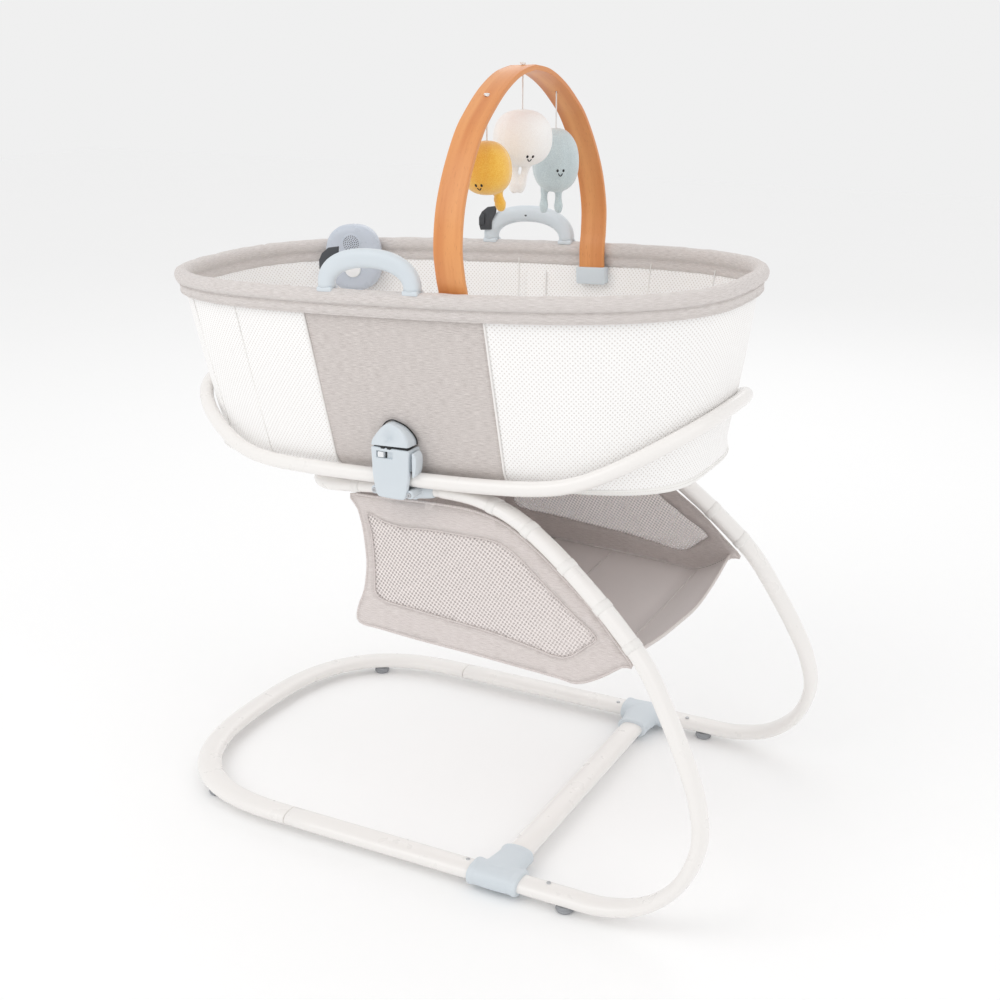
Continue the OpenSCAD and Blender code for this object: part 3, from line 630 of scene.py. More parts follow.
def endTree(tree, placed, material):
    solid = grow(tree, "GeometryNodeRealizeInstances", [("Geometry", placed.outputs["Instances"])])
    tinted = grow(tree, "GeometryNodeSetMaterial", [("Geometry", solid.outputs["Geometry"]),
                                                    ("Material", material)])
    end = tree.nodes.new("NodeGroupOutput")
    tree.links.new(tinted.outputs["Geometry"], end.inputs["Geometry"])


def stitchTree():
    tree, sockets = newTree("stitchRow", [("Pitch", "NodeSocketFloat", 0.004),
                                          ("Thickness", "NodeSocketFloat", 0.0004),
                                          ("Length", "NodeSocketFloat", 0.0028),
                                          ("Thread", "NodeSocketMaterial", None)])
    start = tree.nodes.new("NodeGroupInput")
    curve = grow(tree, "GeometryNodeMeshToCurve", [("Mesh", start.outputs["Geometry"])])
    points = grow(tree, "GeometryNodeCurveToPoints",
                  [("Curve", curve.outputs["Curve"]), ("Length", start.outputs["Pitch"])], mode="LENGTH")
    bead = grow(tree, "GeometryNodeMeshIcoSphere", Radius=1.0, Subdivisions=1)
    size = grow(tree, "ShaderNodeCombineXYZ", [("X", start.outputs["Thickness"]),
                                               ("Y", start.outputs["Thickness"])])
    half = timesBy(tree, start.outputs["Length"], 0.5)
    tree.links.new(half.outputs[0], size.inputs["Z"])
    placed = grow(tree, "GeometryNodeInstanceOnPoints",
                  [("Points", points.outputs["Points"]), ("Instance", bead.outputs["Mesh"]),
                   ("Rotation", points.outputs["Rotation"]), ("Scale", size.outputs[0])])
    endTree(tree, placed, start.outputs["Thread"])
    return tree, sockets


def screwTree():
    tree, sockets = newTree("screwHead", [("Radius", "NodeSocketFloat", 0.003),
                                          ("Height", "NodeSocketFloat", 0.0014),
                                          ("Facing", "NodeSocketVector", (0, 0, 1)),
                                          ("Metal", "NodeSocketMaterial", None)])
    start = tree.nodes.new("NodeGroupInput")
    head = grow(tree, "GeometryNodeMeshCylinder", [("Radius", start.outputs["Radius"]),
                                                   ("Depth", start.outputs["Height"])], Vertices=20)
    size = []
    for a, b in ((1.25, 0.26), (0.26, 1.25)):
        long = timesBy(tree, start.outputs["Radius"], a)
        short = timesBy(tree, start.outputs["Radius"], b)
        box = grow(tree, "ShaderNodeCombineXYZ", [("X", long.outputs[0]), ("Y", short.outputs[0]),
                                                  ("Z", start.outputs["Height"])])
        bar = grow(tree, "GeometryNodeMeshCube", [("Size", box.outputs[0])])
        lift = grow(tree, "ShaderNodeCombineXYZ", [("Z", start.outputs["Height"])])
        moved = grow(tree, "GeometryNodeTransform", [("Geometry", bar.outputs["Mesh"]),
                                                     ("Translation", lift.outputs[0])])
        half = grow(tree, "GeometryNodeTransform", [("Geometry", moved.outputs["Geometry"])])
        half.inputs["Scale"].default_value = (1, 1, 0.75)
        size.append(half)
    cross = grow(tree, "GeometryNodeMeshBoolean", operation="UNION")
    for half in size:
        tree.links.new(half.outputs["Geometry"], cross.inputs[1])
    cut = grow(tree, "GeometryNodeMeshBoolean", [(0, head.outputs["Mesh"]), (1, cross.outputs["Mesh"])],
               operation="DIFFERENCE")
    facing = grow(tree, "FunctionNodeAlignRotationToVector", [("Vector", start.outputs["Facing"])], axis="Z")
    placed = grow(tree, "GeometryNodeInstanceOnPoints",
                  [("Points", start.outputs["Geometry"]), ("Instance", cut.outputs["Mesh"]),
                   ("Rotation", facing.outputs["Rotation"])])
    endTree(tree, placed, start.outputs["Metal"])
    return tree, sockets


stitchRow, stitchInputs = stitchTree()
screwHead, screwInputs = screwTree()


def runTree(name, verts, edges, tree, inputs, values, mat):
    mesh = bpy.data.meshes.new(name)
    mesh.from_pydata([tuple(v) for v in verts], edges, [])
    obj = bpy.data.objects.new(name, mesh)
    bpy.context.scene.collection.objects.link(obj)
    modifier = obj.modifiers.new("repeat", "NODES")
    modifier.node_group = tree
    for label, value in values.items():
        modifier[inputs[label]] = value
    bake(obj)
    if not obj.data.materials:
        obj.data.materials.append(mat)
    return obj


def stitches(name, path, closed=False, pitch=4.2, thickness=0.45, length=3.0, mat=None):
    mat = mat or look["thread"]
    count = len(path)
    edges = [(i, i + 1) for i in range(count - 1)] + ([(count - 1, 0)] if closed else [])
    made = runTree(name, path, edges, stitchRow, stitchInputs,
                   {"Pitch": pitch / 1000, "Thickness": thickness / 1000, "Length": length / 1000,
                    "Thread": mat}, mat)
    shadeByAngle(made, 180)
    return made


def screws(name, spots, facing, radius=3.2, height=1.4, mat=None):
    mat = mat or look["steel"]
    made = runTree(name, spots, [], screwHead, screwInputs,
                   {"Radius": radius / 1000, "Height": height / 1000, "Facing": tuple(facing), "Metal": mat},
                   mat)
    shadeByAngle(made, 30)
    return made


print("stage: helpers ready")

# ---- stand ----
standPlan = {"tubeSides": 44, "padRadius": 13, "padWaist": 11.6}
legRoute = [(197, 28), (240, 28), (300, 28), (360, 30), (418, 49), (462, 90), (483, 148), (476, 203),
            (455, 254), (424, 312), (388, 370), (343, 417), (295, 459), (235, 505), (180, 537), (125, 553),
            (72, 556)]
rearRoute = [(71.5, -198.2, 556), (30, -198, 552.2), (-15, -198, 548), (-60, -198, 543.7), (-95, -197, 539.5),
             (-125, -188, 535), (-150, -168, 531), (-168, -138, 527.5), (-176, -100, 525.5), (-179, -50, 525),
             (-179, 0, 525)]


def makeStand():
    sides = standPlan["tubeSides"]
    e, length = plan["bendE"], plan["bendL"]
    t = np.radians(np.linspace(0, 90, 46))
    x = plan["baseEnd"] + length - length * np.cos(t) ** e
    y = plan["railY"] * np.sin(t) ** e
    half = np.stack([x, y, np.full_like(x, plan["railZ"])], 1)
    half = np.concatenate([half, [[plan["seamU"], plan["railY"], plan["railZ"]]]])
    path = np.concatenate([half[:0:-1] * [1, -1, 1], half])
    path = inStand(path)
    wide = np.cross(unitRows(np.gradient(path, axis=0)), [0, 0, 1])
    front = sweepTube("baseFrontTube", path, wide, plan["tubeA"], plan["tubeB"], look["paint"], sides=sides)
    settle(front, "stand", ["base_front_tube"])
    across = np.array([[0, 1, 0]])
    for far in (False, True):
        side = "far" if far else "near"
        rail = inStand(mirrored([(u, -plan["railY"], plan["railZ"])
                                 for u in np.linspace(plan["seamU"] + 0.5, plan["hubU"], 8)], far))
        settle(sweepTube("sideRail_" + side, rail, np.repeat(across, 8, 0), plan["tubeA"], plan["tubeB"],
                         look["paint"], sides=sides), "stand", ["side_rail_" + side])
        flat = smoothPath(legRoute, 7)
        leg = inStand(mirrored([(u, -sideY(z), z) for u, z in flat], far))
        wide = np.array([(0, 1, (lean if far else -lean) * min(1, max(0, (z - 28) / 40))) for u, z in flat])
        settle(sweepTube("legTube_" + side, leg, wide, plan["tubeA"] - 1, plan["tubeB"] - 0.5, look["paint"],
                         sides=sides), "stand", ["leg_tube_" + side])
    half = smoothPath(rearRoute, 6)
    rear = inStand(np.concatenate([half, half[-2::-1] * [1, -1, 1]]))
    settle(sweepTube("rearTube", rear, np.repeat([[0, 0, 1.0]], len(rear), 0), 9.5, 9.5, look["paint"], n=2,
                     sides=32), "stand", ["rear_tube"])
    reach = plan["railY"] - plan["tubeA"] - 6
    bar = inStand([(plan["hubU"], yy, plan["railZ"]) for yy in np.linspace(-reach, reach, 9)])
    settle(sweepTube("crossbarTube", bar, np.repeat([[1.0, 0, 0]], 9, 0), plan["tubeA"], plan["tubeB"],
                     look["paint"], sides=sides), "stand", ["crossbar"])


hubPlan = {"sleeveHalf": 39, "skin": 3.6, "lip": 1.6, "branch": 67, "voxel": 2.2}


def makeFloorHub(far):
    side = "far" if far else "near"
    hub, top = plan["hubU"], plan["railZ"]
    y0 = -plan["railY"]
    half, skin = hubPlan["sleeveHalf"], hubPlan["skin"]
    parts = []
    spots = [-half, -half + 1.5, -half + 7, -half + 10, -20, 0, 20, half - 10, half - 7, half - 1.5, half]
    grows = [hubPlan["lip"] - 1.2, hubPlan["lip"], hubPlan["lip"], 0.2, 0.6, 1.2, 0.6, 0.2, hubPlan["lip"],
             hubPlan["lip"], hubPlan["lip"] - 1.2]
    rows = []
    for s, g in zip(spots, grows):
        ring = oval(plan["tubeA"] + skin + g, plan["tubeB"] + skin + g, 2.5, np.arange(48) * 7.5)
        rows.append([(hub + s, y0 + a, top + b) for a, b in ring])
    rows = np.array(rows)
    parts.append(closedShape("hubSleeve", rows, look["plastic"]))
    spots = [0, 20, 30, 44, 57, 60, 65.5, hubPlan["branch"]]
    grows = [4, 3.2, 2.4, 1.2, 0.4, hubPlan["lip"], hubPlan["lip"], hubPlan["lip"] - 1.2]
    rows = []
    for s, g in zip(spots, grows):
        ring = oval(plan["tubeA"] + skin + g + (1.6 if s > 40 else 3), plan["tubeB"] + skin - 0.4 + g * 0.7,
                    2.5, np.arange(48) * 7.5)
        rows.append([(hub + a, y0 + s, top + b) for a, b in ring])
    rows = np.array(rows)
    parts.append(closedShape("hubBranch", rows, look["plastic"]))
    for part in parts:
        flat = np.array([v.co for v in part.data.vertices])
        placed = mirrored(flat, far)
        placed = inStand(placed)
        for v, co in zip(part.data.vertices, placed):
            v.co = co
        outward(part)
    hubPiece = fused("floorHub_" + side, parts, hubPlan["voxel"], 6, look["plastic"])
    settle(hubPiece, "stand", ["floor_hub_" + side])


def makeFeetAndButtons():
    pads = []
    top = plan["railZ"] - plan["tubeB"]
    r, waist = standPlan["padRadius"], standPlan["padWaist"]
    for u, y in ((-318, -247), (-318, 247), (302, -plan["railY"]), (302, plan["railY"])):
        low = plan["floorZ"]
        profile = [(0.01, low), (waist - 2, low), (waist, low + 0.6), (r, low + 2.6), (r + 0.2, low + 4),
                   (r, low + 5.2), (r - 1.0, low + 5.9), (r - 0.8, low + 6.8), (r, top - 1.6),
                   (r - 0.8, top - 0.3), (0.01, top + 0.6)]
        pads.append(lathe("footPad", profile, lambda p, u=u, y=y: inStand(p + [u, y, 0]), look["rubber"]))
    settle(merged("footPads", pads), "stand", ["foot_pads"])
    buttons = []
    for u in (plan["hubU"] - 50, plan["hubU"] + 77):
        for y in (-plan["railY"] + 6, plan["railY"] - 6):
            z = plan["railZ"] + plan["tubeB"]
            profile = [(0.01, z + 1.5), (1.6, z + 1.4), (2.7, z + 0.9), (3.2, z + 0.1), (3.3, z - 1.2),
                       (0.01, z - 1.2)]
            buttons.append(lathe("tubeButton", profile[::-1], lambda p, u=u, y=y: inStand(p + [u, y, 0]),
                                 look["steel"], 24))
    settle(merged("tubeButtons", buttons), "stand", ["frame_screws"])


makeStand()
for far in (False, True):
    makeFloorHub(far)
makeFeetAndButtons()
print("stage: stand made")

# ---- rocking ring ----
ringPlan = {"points": 220, "sides": 32}


def ringHeight(u):
    r = np.abs(u) - plan["ringFlat"]
    return plan["ringZ"] + plan["ringSlope"] * 25 * np.logaddexp(0, r / 25)


def makeRing():
    flat = evenOval(plan["ringA"], plan["ringB"], plan["rimPower"], ringPlan["points"])
    path = np.stack([flat[:, 0], flat[:, 1], ringHeight(flat[:, 0])], 1)
    up = np.repeat(turned([[0, 0, 1]]), len(path), 0)
    ring = sweepTube("rockingRing", inCradle(path), up, plan["ringR"], plan["ringR"], look["paint"], n=2,
                     sides=ringPlan["sides"], closed=True, ends=0)
    settle(ring, "ring", ["ring_head_tube", "ring_foot_tube"])


makeRing()
print("stage: ring made")

# ---- bassinet walls ----
wallPlan = {"cols": 150, "thick": 1.8, "bulge": 2.2, "wave": 0.6, "hemHeight": 9}


def wallSize(z):
    low, knee = plan["wallLow"], plan["wallKnee"]
    if z < knee:
        k = (z - low) / (knee - low)
        k = k + 0.18 * math.sin(math.pi * k)
        return plan["bottomA"] + 6 * k, plan["bottomB"] + 33.5 * k, 4 - 1.2 * k
    k = (z - knee) / (plan["rimZ"] - knee)
    a, b = plan["kneeA"], plan["kneeB"]
    return a + (plan["rimA"] - a) * k, b + (plan["rimB"] - b) * k, plan["rimPower"]


def wallAngle(x, z):
    a, _, n = wallSize(z)
    return math.degrees(math.acos(math.copysign(min(1, abs(x) / a) ** (n / 2), x)))


def panelEdge(z, side):
    low, high = ((-94, -116), (167, 160))[side]
    return low + (high - low) * (z - plan["wallLow"]) / plan["wallTall"]


def wallRows(levels, starts, ends, cols, inset=0.0, bulge=0.0, seed=0.0):
    rows = []
    for z, t0, t1 in zip(levels, starts, ends):
        a, b, n = wallSize(z)
        dense = oval(a - inset, b - inset, n, np.linspace(t0, t1, 1600))
        run = np.concatenate([[0], np.cumsum(np.hypot(*np.diff(dense, axis=0).T))])
        at = np.linspace(0, run[-1], cols)
        x, y = np.interp(at, run, dense[:, 0]), np.interp(at, run, dense[:, 1])
        k = max(0.0, min(1.0, (z - plan["wallLow"]) / plan["wallTall"]))
        s = np.linspace(0, 1, cols)
        puff = bulge * math.sin(math.pi * k) * np.sin(np.pi * s) ** 0.5
        puff = puff + wallPlan["wave"] * math.sin(math.pi * k) * np.sin(x * 0.021 + seed) * np.sin(z * 0.017
                                                                                                   + x * 0.006
                                                                                                   + seed)
        normal = np.stack([np.gradient(y), -np.gradient(x)], 1)
        normal = unitRows(normal)
        normal = normal * np.sign((normal * np.stack([x, y], 1)).sum(1, keepdims=True))
        rows.append(np.stack([x + normal[:, 0] * puff, y + normal[:, 1] * puff, np.full(cols, float(z))], 1))
    return np.array(rows)


def clothWall(name, rows, mat, thick, inward):
    placed = placedRows(rows, inCradle)
    obj = gridSurface(name, placed, mat)
    faceOut(obj, inward)
    addModifier(obj, "SOLIDIFY", thickness=thick / 1000, offset=-1)
    return bake(obj)


def faceOut(obj, inward=False):
    # open sheets: every face looks away from the middle of the bassinet, or towards it
    middle = Vector(inCradle([(0, 0, 700)])[0])
    total = sum((face.center - middle).dot(face.normal) * face.area for face in obj.data.polygons)
    if (total < 0) != inward:
        obj.data.flip_normals()


wallLevels = [560, 562, 565, 569, 574, 580, 586, 592, 600] + list(range(612, 813, 10)) + [814]


def sidePanel(far):
    side = "far" if far else "near"
    starts = [-wallAngle(panelEdge(z, 0), z) for z in wallLevels]
    ends = [-wallAngle(panelEdge(z, 1), z) for z in wallLevels]
    rows = wallRows(wallLevels, starts, ends, 64, bulge=1.0, seed=1.3 if far else 0.4)
    if far:
        rows = rows * [1, -1, 1]
    panel = clothWall("sidePanel_" + side, rows, look["melange"], wallPlan["thick"], False)
    settle(panel, "bassinet", ["side_panel_" + side])


def netWall(name, which, replaced):
    if which == "head":
        starts = [wallAngle(panelEdge(z, 0), z) for z in wallLevels]
        ends = [360 - s for s in starts]
    else:
        starts = [-wallAngle(panelEdge(z, 1), z) for z in wallLevels]
        ends = [-s for s in starts]
    rows = wallRows(wallLevels, starts, ends, wallPlan["cols"], bulge=wallPlan["bulge"], seed=2.1)
    settle(clothWall(name, rows, look["whiteNet"], wallPlan["thick"], False), "bassinet", [replaced])


def trimAlong(name, rows, radius, mat, sides=12, closed=False, squash=1.0):
    p = np.asarray(rows)
    up = np.repeat([[0.0, 0.0, 1.0]], len(p), 0)
    t = unitRows(np.gradient(p, axis=0))
    out = unitRows(np.cross(t, up) + 1e-9)
    flat = np.abs(t[:, 2:]) > 0.8
    out = np.where(flat, np.array([[0.0, 1.0, 0.0]]), out)
    return sweepTube(name, p, out, radius * squash, radius, mat, n=2, sides=sides, closed=closed,
                     ends=0 if closed else radius * 0.6)


def makeWallTrims():
    cords, lines = [], []
    for far in (False, True):
        flip = np.array([1, -1 if far else 1, 1])
        for edge in (0, 1):
            pts = []
            for z in np.linspace(561, 806, 60):
                t = -wallAngle(panelEdge(z, edge), z)
                a, b, n = wallSize(z)
                x, y = oval(a + 0.9, b + 0.9, n, [t])[0]
                pts.append((x, y, z))
            cords.append(trimAlong("panelPiping", inCradle(np.array(pts) * flip), 1.5, look["piping"]))
            inner = np.array([(x + (5 if edge == 0 else -5), y - 0.1, z) for x, y, z in pts]) * flip
            lines.append(inCradle(inner))
    settle(merged("panelPipings", cords), "bassinet")
    rows = [stitches("panelStitch", line, pitch=3.6, thickness=0.32, length=2.6) for line in lines]
    settle(merged("panelStitches", rows), "bassinet")
    # bound hem along the bottom of both net walls
    for which in ("head", "foot"):
        hemRows = []
        low, high = 559.6, 559.6 + wallPlan["hemHeight"]
        for z, swell in ((low - 0.4, -1.2), (low, 0.6), (low + 2, 1.5), (high - 2, 1.6), (high, 1.2),
                         (high + 0.3, 0.0)):
            zz = max(plan["wallLow"], z)
            if which == "head":
                t0 = wallAngle(panelEdge(zz, 0), zz)
                t1 = 360 - t0
            else:
                t1 = wallAngle(panelEdge(zz, 1), zz)
                t0 = -t1
            line = wallRows([zz], [t0], [t1], 120, inset=-swell)[0]
            line[:, 2] = z
            hemRows.append(line)
        rows = np.array(hemRows)
        hem = gridSurface("netHem_" + which, placedRows(rows, inCradle), look["whiteCloth"])
        faceOut(hem)
        addModifier(hem, "SOLIDIFY", thickness=0.0012, offset=-1)
        bake(hem)
        settle(hem, "bassinet")
        mid = rows[3] + [0, 0, -1.2]
        settle(stitches("hemStitch_" + which, inCradle(mid), pitch=3.4, thickness=0.3, length=2.4),
               "bassinet")
    # joining seams in the net: one upright seam on each side of the head, one on the foot
    tapes = []
    for x, far, high in ((-352, False, 806), (-352, True, 806), (372, True, 806), (-245, False, 806)):
        pts = []
        for z in np.linspace(570, high, 40):
            a, b, n = wallSize(z)
            t = wallAngle(x * (a / plan["rimA"]), z)
            px, py = oval(a + 1.6, b + 1.6, n, [-t])[0]
            pts.append((px, py * (-1 if far else 1), z))
        tapes.append(trimAlong("netSeam", inCradle(pts), 0.7, look["whiteCloth"], sides=8))
    settle(merged("netSeams", tapes), "bassinet")
    # inner lining all round
    levels = [604] + list(range(612, 793, 20))
    rows = wallRows(levels, [0] * len(levels), [360] * len(levels), 260, inset=3.6)
    rows = np.concatenate([rows, wallRows([798, 806], [0, 0], [360, 360], 260, inset=1.2)])
    placed = placedRows(rows, inCradle)
    placed[:, -1] = placed[:, 0]
    lining = gridSurface("innerLining", placed, look["whiteNet"])
    faceOut(lining, True)
    addModifier(lining, "SOLIDIFY", thickness=0.0008, offset=-1)
    settle(bake(lining), "bassinet")
    inside = []
    for x in (-20, 214, 330, -240):
        pts = []
        for z in np.linspace(606, 806, 30):
            a, b, n = wallSize(z)
            px, py = oval(a - 4.4, b - 4.4, n, [wallAngle(x * (a / plan["rimA"]), z)])[0]
            pts.append((px, py, z))
        inside.append(trimAlong("liningSeam", inCradle(pts), 0.7, look["whiteCloth"], sides=8))
        inside.append(trimAlong("liningSeam", inCradle(np.array(pts) * [1, -1, 1]), 0.7, look["whiteCloth"],
                                sides=8))
    settle(merged("liningSeams", inside), "bassinet")


for far in (False, True):
    sidePanel(far)
netWall("netWall_head", "head", "mesh_head")
netWall("netWall_foot", "foot", "mesh_foot")
makeWallTrims()
print("stage: bassinet walls made")

# ---- padded rim band ----
bandPlan = {"points": 460, "puff": 0.45, "seamAt": (24.0, 156.0, 204.0, 336.0), "groove": 1.3}


def bandProfile():
    r = plan["rollR"]
    roll = [(r * math.cos(math.radians(a)), r * math.sin(math.radians(a))) for a in np.linspace(-38, 212, 26)]
    outside = [(0.4, -24.2), (1.2, -24.8), (2.9, -24.5), (3.6, -23.4), (3.9, -18), (4.2, -13.5), (4.0, -10.6),
               (3.2, -9.3), (5.0, -8.4)]
    inside = [(-6.8, -8.4), (-5.9, -9.6), (-6.6, -12), (-6.7, -19), (-6.4, -23.6), (-5.2, -24.6),
              (-3.9, -24.2), (-3.6, -14), (0.2, -14)]
    return np.array(outside + roll + inside)


def makeBand():
    count = bandPlan["points"]
    flat = evenOval(plan["rimA"], plan["rimB"], plan["rimPower"], count)
    t = unitRows(np.roll(flat, -1, 0) - np.roll(flat, 1, 0))
    out = np.stack([t[:, 1], -t[:, 0]], 1)
    profile = bandProfile()
    s = np.arange(count) / count
    puff = bandPlan["puff"] * (np.sin(2 * np.pi * 47 * s) * 0.5 + np.sin(2 * np.pi * 29 * s + 1.1) * 0.6
                               + np.sin(2 * np.pi * 83 * s + 0.4) * 0.35)
    angle = np.degrees(np.arctan2(flat[:, 1] / plan["rimB"], flat[:, 0] / plan["rimA"])) % 360
    for at in bandPlan["seamAt"]:
        gap = np.abs((angle - at + 180) % 360 - 180)
        puff -= bandPlan["groove"] * np.exp(-(gap / 0.55) ** 2)
    size = np.hypot(profile[:, 0], profile[:, 1])
    onRoll = np.clip((size - 6) / 4, 0, 1) * (profile[:, 1] > -8)
    rows = []
    for q, w in zip(profile, onRoll):
        scale = 1 + puff / plan["rollR"] * w
        strip = 0.35 * np.sin(2 * np.pi * 61 * s + q[1]) * (q[1] < -10)
        rows.append(np.stack([flat[:, 0] + out[:, 0] * (q[0] * scale + strip),
                              flat[:, 1] + out[:, 1] * (q[0] * scale + strip), plan["rimZ"] + q[1] * scale],
                             1))
    rows = np.array(rows)
    placed = placedRows(rows, inCradle)
    placed = np.concatenate([placed, placed[:, :1]], 1)
    placed = np.concatenate([placed, placed[:1]], 0)
    band = gridSurface("rimBand", placed, look["bandMelange"])
    work = bmesh.new()
    work.from_mesh(band.data)
    bmesh.ops.remove_doubles(work, verts=work.verts, dist=1e-6)
    work.to_mesh(band.data)
    work.free()
    outward(band)
    settle(band, "bassinet", ["rim_band"])
    lines = []
    for off, z in ((4.35, -11.6), (4.1, -21.8), (-7.1, -11.6)):
        shifted = flat + out * off
        lines.append(inCradle(np.column_stack([shifted, np.full(count, plan["rimZ"] + z)])))
    rows = [stitches("bandStitch", line, closed=True, pitch=3.8, thickness=0.34, length=2.7)
            for line in lines]
    settle(merged("bandStitches", rows), "bassinet")


makeBand()
print("stage: rim band made")

# ---- mattress and bottom ----
mattressPlan = {"voxel": 6.0, "pressure": 4.0, "cap": 6.0, "frames": 20}


def inflate(obj, voxel, pressure, cap, frames):
    addModifier(obj, "REMESH", mode="VOXEL", voxel_size=voxel / 1000, use_smooth_shade=True)
    bake(obj)
    start = np.empty(len(obj.data.vertices) * 3)
    obj.data.vertices.foreach_get("co", start)
    start = start.reshape(-1, 3)
    cloth = addModifier(obj, "CLOTH")
    cloth.settings.quality = 5
    cloth.settings.use_pressure = True
    cloth.settings.uniform_pressure_force = pressure
    cloth.settings.effector_weights.gravity = 0
    cloth.point_cache.frame_start = 1
    cloth.point_cache.frame_end = frames
    for at in range(1, frames + 1):
        bpy.context.scene.frame_set(at)
    bake(obj)
    bpy.context.scene.frame_set(1)
    swollen = np.empty(len(obj.data.vertices) * 3)
    obj.data.vertices.foreach_get("co", swollen)
    swollen = swollen.reshape(-1, 3)
    move = swollen - start
    size = np.linalg.norm(move, axis=1, keepdims=True)
    move = move * np.minimum(1, cap / 1000 / np.maximum(size, 1e-9))
    obj.data.vertices.foreach_set("co", (start + move).reshape(-1))
    obj.data.update()
    return obj


def makeMattress():
    rows = []
    a, b = plan["bottomA"] - 12, plan["bottomB"] - 10
    for z, inset in ((568, 14), (570, 5), (575, 0), (598, 0), (603, 5), (605, 14)):
        ring = oval(a - inset, b - inset, 4, np.arange(160) * 2.25)
        rows.append([(x, y, z) for x, y in ring])
    rows = np.array(rows)
    pad = closedShape("mattressPad", placedRows(rows, inCradle), look["whiteCloth"])
    inflate(pad, mattressPlan["voxel"], mattressPlan["pressure"], mattressPlan["cap"], mattressPlan["frames"])
    pad.data.materials.clear()
    pad.data.materials.append(look["sheet"])
    shadeByAngle(pad, 180)
    settle(pad, "bassinet", ["mattress"])
    edge = evenOval(a + 1.5, b + 1.5, 4, 300)
    lines = [inCradle(np.stack([edge[:, 0], edge[:, 1], np.full(300, z)], 1)) for z in (577, 597)]
    cords = [trimAlong("mattressPiping", line, 1.7, look["piping"], closed=True) for line in lines]
    settle(merged("mattressPipings", cords), "bassinet")


def makeSheetCloth():
    mat = newMaterial("mattressSheet", 0.9, sheen=0.2, specular=0.2)
    at = coords(mat, "Object", (1, 1, 1))
    tone = mixed(mat, noise(mat, at, 25, 3), srgb(252, 251, 249), srgb(244, 242, 239))
    return finishMaterial(mat, tone, noise(mat, at, 1300, 2), 0.25, 0.0006)


look["sheet"] = makeSheetCloth()
makeMattress()


def makeBottom():
    rows = []
    for z, inset in ((559.6, 40), (559.6, 8), (559.8, 2.4), (560.6, 1.6), (563, 1.4)):
        ring = evenOval(plan["bottomA"] - inset, plan["bottomB"] - inset, 4, 200)
        rows.append([(x, y, z) for x, y in ring])
    rows = np.array(rows)
    under = closedShape("bottomCloth", placedRows(rows, inCradle), look["basketMelange"])
    settle(under, "bassinet")


makeBottom()
print("stage: mattress and bottom made")

# ---- stand clamps, covers and latch caps ----
clampPlan = {"front": -241, "back": -209.8, "halfWide": 30, "low": 548, "top": 619, "capFoot": 622,
             "capTall": 30, "capBack": -217.3, "earX": 27.5, "earZ": 556, "bevel": 3.2}


tubeSlope = 0.0935


def tubeZ(u):
    return 552.2 - (30 - u) * tubeSlope


def clampPlace(far):
    return lambda pts: inStand(mirrored(np.asarray(pts) + [plan["pivotU"], 0, 0], far))


def boxOutline(x0, x1, z0, z1, r=0.0):
    if not r:
        return [(x0, z0), (x1, z0), (x1, z1), (x0, z1)]
    pts = []
    for cx, cz, a0 in ((x1 - r, z0 + r, -90), (x1 - r, z1 - r, 0), (x0 + r, z1 - r, 90),
                       (x0 + r, z0 + r, 180)):
        pts += [(cx + r * math.cos(math.radians(a0 + k * 15)), cz + r * math.sin(math.radians(a0 + k * 15)))
                for k in range(7)]
    return pts


